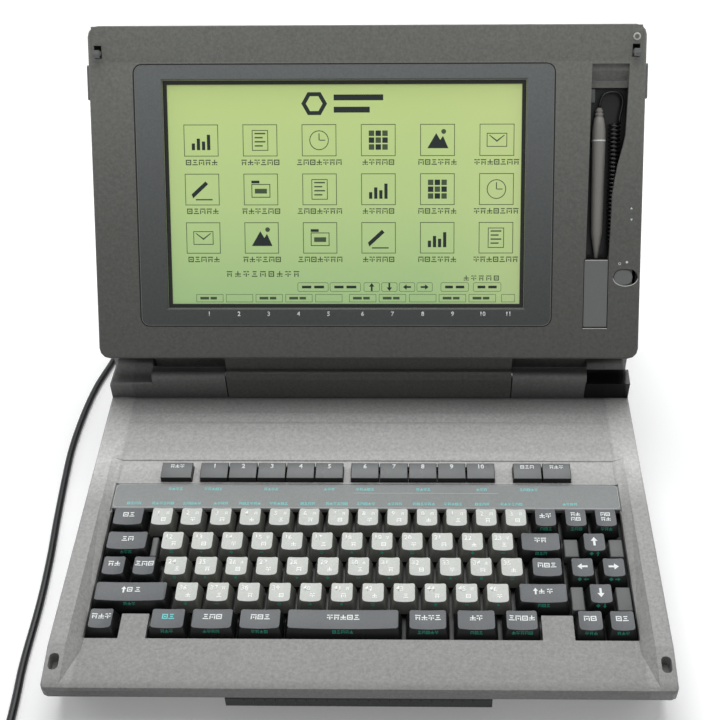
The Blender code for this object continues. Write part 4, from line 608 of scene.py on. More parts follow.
def polygon(x, y, radius, sides=16, turn=0.0):
    return [[(x + radius * cos(turn + tau * k / sides), y + radius * sin(turn + tau * k / sides))
             for k in range(sides)]]


def ring(x, y, radius, line, sides=20):
    return polygon(x, y, radius, sides) + polygon(x, y, radius - line, sides)


def frame_line(left, low, right, high, line, radius=0.0):
    """Outline of a box, with rounded corners if it has a radius."""
    return (rounded_box(left, low, right, high, radius)
            + rounded_box(left + line, low + line, right - line, high - line,
                          max(0.0, radius - line)))


def rounded_box(left, low, right, high, radius, steps=5):
    if radius <= 0:
        return [[(left, low), (right, low), (right, high), (left, high)]]
    outline = []
    for x, y, start in ((right - radius, low + radius, -pi / 2), (right - radius, high - radius, 0),
                        (left + radius, high - radius, pi / 2), (left + radius, low + radius, pi)):
        outline += [(x + radius * cos(start + pi / 2 * k / steps),
                     y + radius * sin(start + pi / 2 * k / steps)) for k in range(steps + 1)]
    return [outline]


def turned_by(outlines, x, y, angle):
    """The same outlines turned about the origin and then moved."""
    return [[(x + px * cos(angle) - py * sin(angle), y + px * sin(angle) + py * cos(angle))
             for px, py in outline] for outline in outlines]


def arrow(x, y, size, angle=0.0):
    """Arrow that points to the right before it is turned."""
    half, head, shaft = size / 2, size * 0.45, size * 0.11
    outline = [(-half, -shaft), (half - head, -shaft), (half - head, -head * 0.75), (half, 0),
               (half - head, head * 0.75), (half - head, shaft), (-half, shaft)]
    return turned_by([outline], x, y, angle)


def glyph(kind, x, y, size):
    """Small mark built of strokes, for a place that carries print; it is no letter."""
    h, t = size / 2, size * 0.19
    kind %= 6
    if kind == 0:
        return (frame_line(x - h, y - h, x + h, y + h, t)
                + bar(x - h * 0.4, y - t / 2, x + h * 0.4, y + t / 2))
    if kind == 1:
        return (bar(x - h, y + h - t, x + h, y + h)
                + bar(x - h * 0.8, y - h, x - h * 0.8 + t, y + h - t * 1.8)
                + bar(x + h * 0.4, y - h, x + h * 0.4 + t, y + h - t * 1.8)
                + bar(x - h * 0.3, y - t * 0.8, x + h * 0.2, y + t * 0.2))
    if kind == 2:
        return (bar(x - h * 0.7, y + h - t, x + h * 0.7, y + h)
                + bar(x - h * 0.5, y - t / 2, x + h * 0.5, y + t / 2)
                + bar(x - h, y - h, x + h, y - h + t))
    if kind == 3:
        a = t / 2
        plus = [(-a, -h), (a, -h), (a, -a), (h, -a), (h, a), (a, a), (a, h), (-a, h), (-a, a),
                (-h, a), (-h, -a), (-a, -a)]
        return ([[(x + px, y + py) for px, py in plus]]
                + bar(x - h, y - h, x - h * 0.45, y - h + t)
                + bar(x + h * 0.45, y - h, x + h, y - h + t))
    if kind == 4:
        return (bar(x - h, y + h - t, x + h, y + h) + bar(x - h, y - h, x - h + t, y + h - t * 1.6)
                + bar(x + h - t, y - h, x + h, y + h - t * 1.6)
                + polygon(x, y - h * 0.2, t * 0.9, 4, pi / 4))
    return (bar(x - h, y + h - t, x - h * 0.1, y + h) + bar(x + h * 0.2, y + h - t, x + h, y + h)
            + bar(x - t / 2, y - h, x + t / 2, y + h - t * 1.8)
            + bar(x - h, y - t, x - t * 1.2, y) + bar(x + t * 1.2, y - t, x + h, y))


def glyph_row(count, first, x, y, size, pitch=1.22):
    """Marks side by side, centred on a point."""
    marks = []
    for k in range(count):
        marks += glyph(first + k * 2 + k // 3, x + (k - (count - 1) / 2) * size * pitch, y, size)
    return marks


def flat_shapes(name, outlines):
    """Outlines in millimetres filled as one flat mesh; an outline in another is a hole."""
    curve = bpy.data.curves.new(name, "CURVE")
    curve.dimensions = "2D"
    curve.fill_mode = "BOTH"
    for outline in outlines:
        spline = curve.splines.new("POLY")
        spline.points.add(len(outline) - 1)
        for point, (x, y) in zip(spline.points, outline):
            point.co = (x * MM, y * MM, 0, 1)
        spline.use_cyclic_u = True
    shapes = bpy.data.objects.new(name, curve)
    bpy.context.scene.collection.objects.link(shapes)
    activate(shapes)
    bpy.ops.object.convert(target="MESH")
    return bpy.context.object


def flat_text(words, x, y, size, weight=0.0):
    """Words centred on a point, as a flat mesh; weight makes the strokes bolder."""
    deselect()
    bpy.ops.object.text_add(location=(x * MM, y * MM, 0))
    text = bpy.context.object
    text.data.body = words
    text.data.size = size * MM * 1.38
    text.data.offset = weight * MM
    text.data.align_x = "CENTER"
    text.data.align_y = "CENTER"
    text.data.resolution_u = 2
    bpy.ops.object.convert(target="MESH")
    made = bpy.context.object
    settle(made)
    return made


def make_print(name, outlines, words, material, thick=0.04, matrix=None, onto=None, rise=0.02):
    """Printed marks: flat shapes and words, laid onto a piece if one is named, and given a body."""
    items = [flat_shapes(name, outlines)] if outlines else []
    items += [flat_text(*word) for word in words]
    marks = join(name, items)
    for face in marks.data.polygons:
        if face.normal.z < 0:
            face.flip()
    if onto:
        marks.data.transform(Matrix.Translation((0, 0, 3 * MM)))
        wrap = marks.modifiers.new("lay", "SHRINKWRAP")
        wrap.wrap_method = "PROJECT"
        wrap.use_project_z = True
        wrap.use_negative_direction = True
        wrap.use_positive_direction = False
        wrap.offset = rise * MM
        wrap.target = onto
    body = marks.modifiers.new("body", "SOLIDIFY")
    body.thickness = thick * MM
    body.offset = 1.0
    apply_modifiers(marks)
    if matrix:
        settle(marks, matrix)
    marks.data.materials.clear()
    marks.data.materials.append(material)
    return marks


# Modelling in edit mode

def pick(kind, test):
    """Selects only the faces or edges that pass a test of their place or normal."""
    bpy.ops.mesh.select_mode(type=kind)
    bpy.ops.mesh.select_all(action="DESELECT")
    mesh = bmesh.from_edit_mesh(bpy.context.object.data)
    for item in mesh.faces if kind == "FACE" else mesh.edges:
        if test(item):
            item.select_set(True)
    bmesh.update_edit_mesh(bpy.context.object.data)


def block(name, low, high):
    """Plain block between two corners, ready to be shaped."""
    deselect()
    centre = [(a + b) / 2 for a, b in zip(low, high)]
    bpy.ops.mesh.primitive_cube_add(size=1, location=centre)
    made = bpy.context.object
    made.name = name
    made.scale = [b - a for a, b in zip(low, high)]
    settle(made)
    return made


def round_edges(item, width, segments=2, angle=radians(30)):
    bevel = item.modifiers.new("round", "BEVEL")
    bevel.width = width
    bevel.segments = segments
    bevel.limit_method = "ANGLE"
    bevel.angle_limit = angle
    apply_modifiers(item)


def rounded_block(name, low, high, radius, segments=2):
    """Block between two corners with every edge rounded."""
    made = block(name, low, high)
    round_edges(made, radius, segments)
    return made


def turned(name, stations, sides=32):
    """Turned piece along Z: a disc extruded and scaled from station to station."""
    (level, radius), *rest = stations
    deselect()
    bpy.ops.mesh.primitive_circle_add(vertices=sides, radius=radius, location=(0, 0, level),
                                      fill_type="NGON")
    piece = bpy.context.object
    piece.name = name
    settle(piece)
    bpy.ops.object.mode_set(mode="EDIT")
    bpy.ops.mesh.select_all(action="SELECT")
    for height, size in rest:
        bpy.ops.mesh.extrude_region_move(TRANSFORM_OT_translate={"value": (0, 0, height - level)})
        bpy.ops.transform.resize(value=(size / radius, size / radius, 1),
                                 center_override=(0, 0, height))
        level, radius = height, size
    bpy.ops.mesh.select_all(action="SELECT")
    bpy.ops.mesh.normals_make_consistent(inside=False)
    bpy.ops.object.mode_set(mode="OBJECT")
    return piece


# Keys

def make_cap(name, width, top_finish, side_finish):
    """Key cap: tapered sides, rounded corners, a top dished across its width."""
    cap = block(name, (-width / 2, -cap_top_depth / 2, -cap_height),
                (width / 2, cap_top_depth / 2, 0))
    grown_depth = cap_top_depth + cap_front_taper + cap_back_taper
    bpy.ops.object.mode_set(mode="EDIT")
    pick("FACE", lambda face: face.normal.z < -0.5)
    bpy.ops.transform.resize(value=((width + cap_side_taper * 2) / width,
                                    grown_depth / cap_top_depth, 1),
                             center_override=(0, 0, -cap_height))
    bpy.ops.transform.translate(value=(0, (cap_back_taper - cap_front_taper) / 2, 0))
    pick("EDGE", lambda edge: abs(edge.verts[0].co.z - edge.verts[1].co.z) > cap_height / 2)
    bpy.ops.mesh.bevel(offset=cap_corner, segments=3, affect="EDGES")
    bpy.ops.object.mode_set(mode="OBJECT")
    deselect()
    bpy.ops.mesh.primitive_cylinder_add(vertices=64, radius=1, depth=0.06,
                                        rotation=(pi / 2, 0, 0))
    finger = bpy.context.object
    settle(finger)
    finger.scale = (width / 1.2, 1, dish_curve)
    finger.location = (0, 0, dish_curve - dish_depth)
    settle(finger)
    dish = cap.modifiers.new("dish", "BOOLEAN")
    dish.operation = "DIFFERENCE"
    dish.object = finger
    apply_modifiers(cap)
    bpy.data.objects.remove(finger)
    round_edges(cap, cap_edge, 3)
    cap.data.materials.clear()
    cap.data.materials.append(top_finish)
    cap.data.materials.append(side_finish)
    for face in cap.data.polygons:
        face.material_index = 0 if face.normal.z > 0.72 else 1
    activate(cap)
    bpy.ops.object.shade_smooth_by_angle(angle=radians(32))
    return cap


def front_place(x, y):
    """Frame on a cap's sloping front: X across, Y up the slope."""
    slope = atan2(cap_height, cap_front_taper)
    return (Matrix.Translation((x, y - cap_top_depth / 2 - cap_front_taper / 2, -cap_height / 2))
            @ Matrix.Rotation(slope, 4, "X"))


small_marks = [lambda x, y, s: bar(x - s / 2, y - s * 0.12, x + s / 2, y + s * 0.12, 0.8),
               lambda x, y, s: polygon(x, y, s * 0.32, 12),
               lambda x, y, s: ring(x, y, s * 0.42, s * 0.17, 14),
               lambda x, y, s: polygon(x, y, s * 0.5, 3, pi / 2),
               lambda x, y, s: polygon(x, y, s * 0.45, 4, pi / 4),
               lambda x, y, s: bar(x - s / 2, y + s * 0.12, x + s / 2, y + s * 0.36, 0.8)
               + bar(x - s / 2, y - s * 0.36, x + s / 2, y - s * 0.12, 0.8),
               lambda x, y, s: polygon(x, y, s * 0.48, 3, -pi / 2),
               lambda x, y, s: polygon(x, y, s * 0.5, 4, 0)]


def make_character_keys():
    """Forty-eight light caps: one is modelled, the others are copies, joined row by row."""
    # The light caps' darker sides are painted shade.
    pattern = make_cap("cap_pattern", cap_top_width, cap_finish, cap_shaded_side_finish)
    for row, (count, stagger) in enumerate(character_rows):
        caps, words, marks, fronts = [], [], [], []
        y = -row * key_pitch / MM
        for index in range(count):
            x = (first_key_x + (stagger + index) * key_pitch) / MM
            caps.append(copy_of(pattern, (x * MM, y * MM, 0)))
            number = str((index + 1) % 10 if row == 0 else row * 12 + index)
            words.append((number, x - 2.7, y + 2.6, 3.5, 0.12))
            marks += glyph(index * 5 + row, x + 1.0, y - 2.3, 2.9)
            if row == 0 or (index + row) % 4 == 0:
                marks += glyph(index * 3 + row + 1, x + 3.3, y + 2.6, 2.0)
            if row and (index + row) % 5:
                fronts += small_marks[(index + row * 5) % 8](x, 2.0, 2.4)
        name = f"character_keys_row_{row + 1}"
        keys = join(name, caps)
        legend = make_print(name + "_legend", marks, words, cap_print, onto=keys)
        parts = [keys, legend]
        if fronts:
            front = make_print(name + "_fronts", fronts, [], teal_print,
                               matrix=front_place(0, y * MM))
            front.data.transform(Matrix.Translation((0, -0.00002, 0.00001)))
            parts.append(front)
        keys = join(name, parts)
        settle(keys, deck_matrix)
        carried(keys, "case")
    bpy.data.objects.remove(pattern)


def dark_legend(code):
    """Marks on a dark key's top: an arrow, an arrow head or rows of small marks."""
    if code in heads:
        return arrow(0, 0.6, 6.4, heads[code])
    count, kind, y = int(code[0]), int(code[1]), 1.4
    if code[2:] == "up":
        return arrow(-4.6, y, 4.6, pi / 2) + glyph_row(count, kind, 1.6, y, 3.3, 1.5)
    if code[2:] == "two":
        return (glyph_row(count, kind, 0, 2.8, 2.8, 1.15)
                + glyph_row(count, kind + 3, 0, -1.0, 2.8, 1.15))
    return glyph_row(count, kind, 0, y, 3.4, 1.18)


def make_dark_keys():
    """Twenty-five travelling keys: slate tops, black sides, white marks, teal marks in front."""
    for (name, row, centre, span), code in zip(dark_keys, dark_codes):
        width = span * key_pitch - (key_pitch - cap_top_width)
        cap = make_cap(name + "_cap", width, slate_finish, cap_black_finish)
        ink = cyan_print if name == "key_function" else white_print
        legend = make_print(name + "_legend", dark_legend(code), [], ink, onto=cap)
        front = []
        if code in heads:
            front = polygon(-2.2, 1.8, 1.3, 4) + arrow(1.8, 1.8, 3.2, heads[code])
        elif row != 2 and centre > 0 or code[2:] == "up" or name == "key_tab":
            front = glyph_row(min(5, int(code[0]) + 1), int(code[1]) + 1, 0, 1.8, 2.1)
        parts = [cap, legend]
        if front:
            mark = make_print(name + "_front", front, [], teal_print, matrix=front_place(0, 0))
            mark.data.transform(Matrix.Translation((0, -0.00003, 0.00001)))
            parts.append(mark)
        key = join(name + "_cap", parts)
        key.data.transform(Matrix.Translation((first_key_x + centre * key_pitch,
                                               -row * key_pitch, 0)))
        settle(key, deck_matrix)
        carried(key, key_body[name])
        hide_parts(name)


def make_key_pan():
    """Black pan under the keys, with the slate fillers that stand in it."""
    pan = block("key_pan", (-0.1677, -0.0899, -0.0141), (0.1677, 0.0105, -0.0073))
    bpy.ops.object.mode_set(mode="EDIT")
    pick("FACE", lambda face: face.normal.z > 0.5)
    bpy.ops.mesh.inset(thickness=0.0015)
    bpy.ops.mesh.extrude_region_move(TRANSFORM_OT_translate={"value": (0, 0, -0.0052)})
    bpy.ops.object.mode_set(mode="OBJECT")
    dress(pan, black_finish, "case")
    settle(pan, deck_matrix)
    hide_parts("key_plate")
    blanks = []
    for left, right, front, back in ((-134.9, -131.0, -29.1, -14.5), (126.6, 135.4, -28.4, -15.0),
                                     (155.0, 163.5, -28.4, -15.0), (127.7, 135.4, -67.4, -50.5),
                                     (155.2, 164.0, -67.4, -50.5)):
        blank = block("blank", (left * MM, front * MM, -0.0125), (right * MM, back * MM, -0.0035))
        round_edges(blank, 0.0008, 3)
        blanks.append(blank)
    fillers = join("key_fillers", blanks)
    dress(fillers, filler_finish, "case")
    settle(fillers, deck_matrix)


def make_function_keys():
    """Thirteen glossy keys on their bar: one for each width, copied along its group."""
    bar_piece = rounded_block("function_key_stand", (-0.1407, 0.0127, -0.0091),
                              (0.1397, 0.0472, -0.0073), 0.0003)
    keys, faces, numbers = [bar_piece], [], []
    bar_piece.data.materials.clear()
    bar_piece.data.materials.append(function_side_finish)
    count_up = 0
    for start, stop, count in function_groups:
        pitch = (stop - start + 0.7) / count
        pattern = block("function_pattern", (start * MM, 0.0306, -0.0076),
                        ((start + pitch - 0.7) * MM, 0.0432, 0.0006))
        bpy.ops.object.mode_set(mode="EDIT")
        pick("EDGE", lambda edge: all(v.co.z > 0 and v.co.y > 0.04 for v in edge.verts))
        bpy.ops.transform.translate(value=(0, 0, 0.0009))
        bpy.ops.object.mode_set(mode="OBJECT")
        round_edges(pattern, 0.0006, 3)
        pattern.data.materials.clear()
        pattern.data.materials.append(function_finish)
        pattern.data.materials.append(function_side_finish)
        for face in pattern.data.polygons:
            face.material_index = 0 if face.normal.z > 0.8 else 1
        activate(pattern)
        bpy.ops.object.shade_smooth_by_angle(angle=radians(35))
        for index in range(count):
            left = start + pitch * index
            right = left + pitch - 0.7
            keys.append(copy_of(pattern, (pitch * index * MM, 0, 0)))
            count_up += 1
            if 1 < count_up < 12:
                numbers.append((str(count_up - 1), (left + right) / 2, 40.1, 3.4, 0.16))
            else:
                faces += glyph_row(3, count_up, (left + right) / 2, 40.1, 2.6)
        bpy.data.objects.remove(pattern)
    caps = join("function_keys", keys)
    legend = make_print("function_keys_legend", faces, numbers, white_print, onto=caps)
    piece = join("function_keys", [caps, legend])
    settle(piece, deck_matrix)
    carried(piece, "case")
    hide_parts("function_key_bar")


def make_strip_marks():
    """Printed strip: its pale outline and two rows of cyan marks."""
    lines = frame_line(-165.6, 9.4, 165.6, 28.3, 0.22, 3.0) + bar(-8.0, 21.4, 87.0, 21.62)
    marks = []
    for start, stop, count in function_groups:
        pitch = (stop - start + 0.7) / count
        for index in range(0, count, 2):
            middle = start + pitch * (index + 0.5)
            marks += glyph_row(3 + (index + count) % 3, index + count, middle, 24.6, 2.0)
    for index in range(16):
        x = (first_key_x + (index - 1.1) * key_pitch) / MM
        if index != 14:
            marks += glyph_row(4 + (index * 2) % 3, index, x, 12.7, 2.0)
    outline = make_print("legend_strip_outline", lines, [], strip_line, thick=0.03)
    print_rows = make_print("legend_strip_rows", marks, [], cyan_print, thick=0.03)
    piece = join("legend_strip_print", [outline, print_rows])
    piece.data.transform(Matrix.Translation((0, 0, -0.0035)))
    settle(piece, deck_matrix)
    carried(piece, "case")


# Lid

def icon(kind, x, y, s):
    """Generic picture in a square of side s: outlines for thick and for thin ink."""
    h = s / 2
    dark, soft = [], []
    if kind == 0:
        for k, rise in enumerate((0.35, 0.6, 0.45, 0.8)):
            start, foot = x - h * 0.7 + k * s * 0.19, y - h * 0.7
            dark += bar(start, foot, start + s * 0.12, foot + s * 0.7 * rise)
    elif kind == 1:
        dark += frame_line(x - h * 0.6, y - h * 0.75, x + h * 0.6, y + h * 0.75, 0.45)
        for k in range(4):
            soft += bar(x - h * 0.4, y + h * 0.45 - k * s * 0.15, x + h * (0.4 - 0.2 * (k % 2)),
                        y + h * 0.55 - k * s * 0.15)
    elif kind == 2:
        dark += ring(x, y, h * 0.72, 0.5)
        dark += bar(x - 0.3, y, x + 0.3, y + h * 0.5) + bar(x + 0.35, y - 0.25, x + h * 0.45, y + 0.3)
    elif kind == 3:
        for i in range(3):
            for j in range(3):
                start, foot = x - h * 0.7 + i * s * 0.25, y - h * 0.7 + j * s * 0.25
                ink = dark if (i + j) % 2 else soft
                ink.extend(bar(start, foot, start + s * 0.2, foot + s * 0.2))
    elif kind == 4:
        dark += [[(x - h * 0.75, y - h * 0.6), (x - h * 0.1, y + h * 0.5), (x + h * 0.2, y),
                  (x + h * 0.4, y + h * 0.3), (x + h * 0.8, y - h * 0.6)]]
        soft += polygon(x + h * 0.45, y + h * 0.62, h * 0.18, 12)
    elif kind == 5:
        dark += frame_line(x - h * 0.75, y - h * 0.5, x + h * 0.75, y + h * 0.5, 0.45)
        soft += [[(x - h * 0.6, y + h * 0.35), (x, y - h * 0.15), (x + h * 0.6, y + h * 0.35),
                  (x + h * 0.5, y + h * 0.35), (x, y - h * 0.02), (x - h * 0.5, y + h * 0.35)]]
    elif kind == 6:
        dark += [[(x - h * 0.7, y - h * 0.65), (x + h * 0.45, y + h * 0.4),
                  (x + h * 0.25, y + h * 0.6), (x - h * 0.8, y - h * 0.35)]]
        soft += bar(x - h * 0.5, y - h * 0.8, x + h * 0.75, y - h * 0.7)
    else:
        dark += frame_line(x - h * 0.7, y - h * 0.6, x + h * 0.7, y + h * 0.4, 0.5)
        dark += bar(x - h * 0.7, y + h * 0.45, x - h * 0.1, y + h * 0.65)
        soft += bar(x - h * 0.45, y - h * 0.3, x + h * 0.45, y + h * 0.05)
    return dark, soft


def make_display_marks():
    """Generic menu on the display: a title, pictures with numbers, a button row and soft keys."""
    dark, soft = [], []
    left, right, low, high = view_left / MM, view_right / MM, view_low / MM, view_high / MM
    middle = (left + right) / 2
    dark += polygon(middle - 20, high - 12.5, 8.6, 6, 0) + polygon(middle - 20, high - 12.5, 5.6, 6)
    dark += bar(middle - 7, high - 10.4, middle + 26, high - 6.6)
    dark += bar(middle - 7, high - 18.4, middle + 17, high - 14.6)
    columns = 6
    kinds = [0, 1, 2, 3, 4, 5, 6, 7, 1, 0, 3, 2, 5, 4, 7, 6, 0, 1]
    size = 21.0
    for index, kind in enumerate(kinds):
        x = left + 22 + (index % columns) * 39.6
        y = high - 36.5 - (index // columns) * 32.5
        soft += frame_line(x - size * 0.55, y - size * 0.5, x + size * 0.55, y + size * 0.5, 0.45)
        thick, thin = icon(kind, x, y, size * 0.86)
        dark += thick
        soft += thin
        soft += glyph_row(5 + index % 3, index, x, y - size * 0.5 - 4.0, 3.6)
    soft += glyph_row(9, 1, left + 62, low + 20.4, 3.8, 1.5)
    soft += glyph_row(5, 3, right - 26, low + 17.6, 3.4, 1.5)
    for k, angle in enumerate((pi / 2, -pi / 2, pi, 0)):
        x = left + 136 + k * 12.0
        soft += frame_line(x - 5.4, low + 8.4, x + 5.4, low + 14.6, 0.28, 1.2)
        dark += arrow(x, low + 11.5, 5.4, angle)
    for x, half in ((left + 96, 10.5), (left + 118, 10.5), (right - 44, 9.5), (right - 22, 9.5)):
        soft += frame_line(x - half, low + 8.4, x + half, low + 14.6, 0.28, 1.2)
        dark += bar(x - half + 3, low + 10.6, x - 1.2, low + 12.4)
        dark += bar(x + 0.8, low + 10.6, x + half - 3, low + 12.4)
    for k, x in enumerate(soft_key_x):
        soft += frame_line(x - 9.2 if k < 10 else x - 4.6, low + 1.2, x + 9.2 if k < 10 else x + 4.6,
                           low + 6.6, 0.28)
        if k % 3 != 1:
            soft += bar(x - 6.6, low + 3.0, x - 0.6, low + 4.8)
            soft += bar(x + 0.4, low + 3.0, x + 4.8, low + 4.8)
    place = lid_matrix @ place_at(0, 0, display_face)
    for name, outlines, ink in (("display_thick_marks", dark, lcd_print),
                                ("display_thin_marks", soft, lcd_soft_print)):
        marks = make_print(name, outlines, [], ink, thick=0.02, matrix=place)
        carried(marks, "lid")
    numbers = [(str(k + 1), x, 43.9, 3.0, 0.1)
               for k, x in enumerate(soft_key_x)]
    labels = make_print("soft_key_numbers", [], numbers, white_print, thick=0.03,
                        matrix=lid_matrix @ place_at(0, 0, bezel_face))
    carried(labels, "lid")


def make_display_border():
    """Near-black slope round the display, the gap round the bezel, and a painted highlight inside the
    gap.
    """
    place = lid_matrix @ place_at(0, 0, bezel_face)
    gap = frame_line(-154.7, 35.3, 124.9, 210.1, 0.75, 6.0)
    seam = make_print("bezel_seam", gap, [], joint_and_shade_finish, thick=0.12, matrix=place)
    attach(seam, "lid")
    # Painted highlight: a pale line along the inner side of the gap round the bezel.
    light = frame_line(-153.9, 36.1, 124.1, 209.3, 0.28, 5.2)
    shine = make_print("bezel_edge_line", light, [], bezel_highlight_finish, thick=0.05, matrix=place)
    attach(shine, "lid")
    border = frame_line(view_left / MM - 2.6, view_low / MM - 2.6, view_right / MM + 2.6,
                        view_high / MM + 2.6, 2.65)
    dark = make_print("display_surround", border, [], border_finish, thick=0.9,
                      matrix=lid_matrix @ Matrix.Translation((0, 0, 0.01335)))
    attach(dark, "lid")


def make_lid_marks():
    """Boss by the latch with painted shade in its centre, marks beside the knob, and painted
    highlights on the recesses' lower rims and on the lever's top edge.
    """
    boss = turned("latch_boss", [(0, 0.00245), (0.0006, 0.00245), (0.0009, 0.0021), (0.0009, 0.0015),
                                 (0.0006, 0.0013), (0.0006, 0.0004)], 28)
    dress(boss, boss_finish, "lid")
    settle(boss, lid_matrix @ Matrix.Translation((0.1769, 0.2262, 0.0199)) @ lip_tilt)
    # Painted shade: a darker disc in the boss's central recess.
    centre_shade = make_print("latch_boss_centre_shade", polygon(0, 0, 1.45, 20), [], lever_finish, thick=0.05,
                      matrix=lid_matrix @ Matrix.Translation((0.1769, 0.2262, 0.02076)) @ lip_tilt)
    carried(centre_shade, "lid")
    marks = (polygon(176.8, 114.8, 1.0, 3, pi / 2) + polygon(177.0, 107.5, 1.0, 3, -pi / 2)
             + ring(169.9, 78.0, 0.9, 0.3) + polygon(174.7, 79.0, 0.8, 12))
    face = lid_matrix @ place_at(0, 0, lid_face)
    ink = make_print("lid_marks", marks, [], white_print, thick=0.03, matrix=face)
    # Painted highlights: a pale crescent on the knob recess's lower rim and a pale bar on the lever
    # recess's lower rim.
    low_rim = [(174.05 + 8.45 * cos(-pi * 0.03 - pi * 0.94 * k / 24),
                68.4 + 5.75 * sin(-pi * 0.03 - pi * 0.94 * k / 24)) for k in range(25)]
    low_rim += [(174.05 + 8.2 * cos(-pi + pi * 0.94 * k / 24 + pi * 0.03),
                 68.8 + 5.6 * sin(-pi + pi * 0.94 * k / 24 + pi * 0.03)) for k in range(25)]
    rims = [low_rim] + bar(146.0, 33.95, 162.3, 34.35)
    rim = make_print("recess_rims", rims, [], rim_highlight_finish, thick=0.04, matrix=face)
    for piece in (ink, rim):
        carried(piece, "lid")
    # Painted highlight on the lever's top edge.
    tip = make_print("lever_top_highlight", bar(146.8, 80.0, 161.6, 80.35), [], rim_highlight_finish, thick=0.03,
                     matrix=lid_matrix @ place_at(0, 0, bezel_face))
    carried(tip, "lever")


# Leads

def smooth_route(knots, spacing):
    """Points at an even spacing on a smooth curve through the knots."""
    knots = [Vector(k) for k in knots]
    ends = [knots[0] * 2 - knots[1]] + knots + [knots[-1] * 2 - knots[-2]]
    fine = []
    steps = 24
    for a, b, c, d in zip(ends, ends[1:], ends[2:], ends[3:]):
        for k in range(steps):
            t = k / steps
            fine.append(0.5 * (b * 2 + (c - a) * t + (a * 2 - b * 5 + c * 4 - d) * t * t
                               + (b * 3 - a - c * 3 + d) * t * t * t))
    fine.append(knots[-1])
    total = sum((q - p).length for p, q in zip(fine, fine[1:]))
    count = max(2, ceil(total / spacing))
    wanted = [total * k / count for k in range(count + 1)]
    points = []
    walked = 0
    index = 0
    for target in wanted:
        while index < len(fine) - 2 and walked + (fine[index + 1] - fine[index]).length < target:
            walked += (fine[index + 1] - fine[index]).length
            index += 1
        run = (fine[index + 1] - fine[index]).length
        share = min(1, (target - walked) / run) if run else 0
        points.append(tuple(fine[index].lerp(fine[index + 1], share)))
    return points


def coil_route():
    """Spiral in on the table, up a layer where it reverses, and out again above it."""
    climb = 0.5
    steps = 48
    inward = coil_in_turns + climb / 2
    points = [(coil_centre[0] - coil_outer, coil_centre[1] + lead_diameter * 0.4,
               lead_diameter / 2)]
    for k in range(round((coil_in_turns * 2 + climb) * steps) + 1):
        turns = k / steps
        radius = coil_outer - coil_pitch * (turns if turns < inward else 2 * inward - turns)
        rise = min(1, max(0, (turns - coil_in_turns) / climb))
        angle = pi + tau * turns
        points.append((coil_centre[0] + radius * cos(angle), coil_centre[1] + radius * sin(angle),
                       lead_diameter / 2 + coil_pitch * rise))
    return points


def wire(name, points, radius, resolution, material):
    """Wire as one open spline with round section and closed ends."""
    curve = bpy.data.curves.new(name, "CURVE")
    curve.dimensions = "3D"
    curve.bevel_depth = radius
    curve.bevel_resolution = resolution
    curve.use_fill_caps = True
    spline = curve.splines.new("POLY")
    spline.points.add(len(points) - 1)
    for point, place in zip(spline.points, points):
        point.co = (*place, 1)
    spline.use_smooth = True
    curve.materials.append(material)
    lead = bpy.data.objects.new(name, curve)
    bpy.context.scene.collection.objects.link(lead)
    return lead


def route_length(points):
    return sum((Vector(b) - Vector(a)).length for a, b in zip(points, points[1:]))


# Fittings on the sides, the back and the underside

def place_at(x, y, z, turn="", angle=0.0):
    """Frame for a fitting: a point, and a turn about one axis."""
    placed = Matrix.Translation((x, y, z))
    return placed @ Matrix.Rotation(angle, 4, turn) if turn else placed


def fitted(piece, material, body, matrix, smooth=radians(35)):
    """Finishes a fitting and puts it in its place on the body that carries it."""
    dress(piece, material, body, smooth)
    settle(piece, matrix)
    return piece


def make_screws(name, places, matrix, body):
    """Sunk screws: a dished head with a black cross laid on it, painted shade for the cross recess,
    copied to each place.
    """
    head = turned(name, [(0, 0.0026), (0.0004, 0.0026), (0.0007, 0.0022)], 20)
    # Painted shade: the cross recess is a black cross laid on the head.
    cross = [(-0.35, -1.5), (0.35, -1.5), (0.35, -0.35), (1.5, -0.35), (1.5, 0.35), (0.35, 0.35),
             (0.35, 1.5), (-0.35, 1.5), (-0.35, 0.35), (-1.5, 0.35), (-1.5, -0.35), (-0.35, -0.35)]
    slot = make_print(name + "_cross", [cross], [], joint_and_shade_finish, thick=0.05,
                      matrix=place_at(0, 0, 0.00071))
    head.data.materials.clear()
    head.data.materials.append(steel_finish)
    screw = join(name, [head, slot])
    copies = [copy_of(screw, (x * MM, y * MM, 0)) for x, y in places]
    bpy.data.objects.remove(screw)
    screws = join(name, copies)
    settle(screws, matrix)
    carried(screws, body)


def make_grille(name, left, low, columns, length, matrix, body):
    """Air grille: upright ribs before a black sheet, painted shade that stands for the recess behind
    them.
    """
    right = left + columns * 4.0
    # Painted shade: a black sheet for the recess behind the ribs.
    hole = make_print(name + "_recess", rounded_box(left - 2.4, low - 2, right - 1.6,
                                                    low + length + 2, 2.0), [], joint_and_shade_finish,
                      thick=0.1, matrix=matrix)
    carried(hole, body)
    ribs = []
    for k in range(columns):
        x = (left + k * 4.0) * MM
        rib = rounded_block("rib", (x - 0.0011, low * MM, 0.00005),
                            (x + 0.0011, (low + length) * MM, 0.0009), 0.0004)
        ribs.append(rib)
    fitted(join(name, ribs), case_finish, body, matrix)


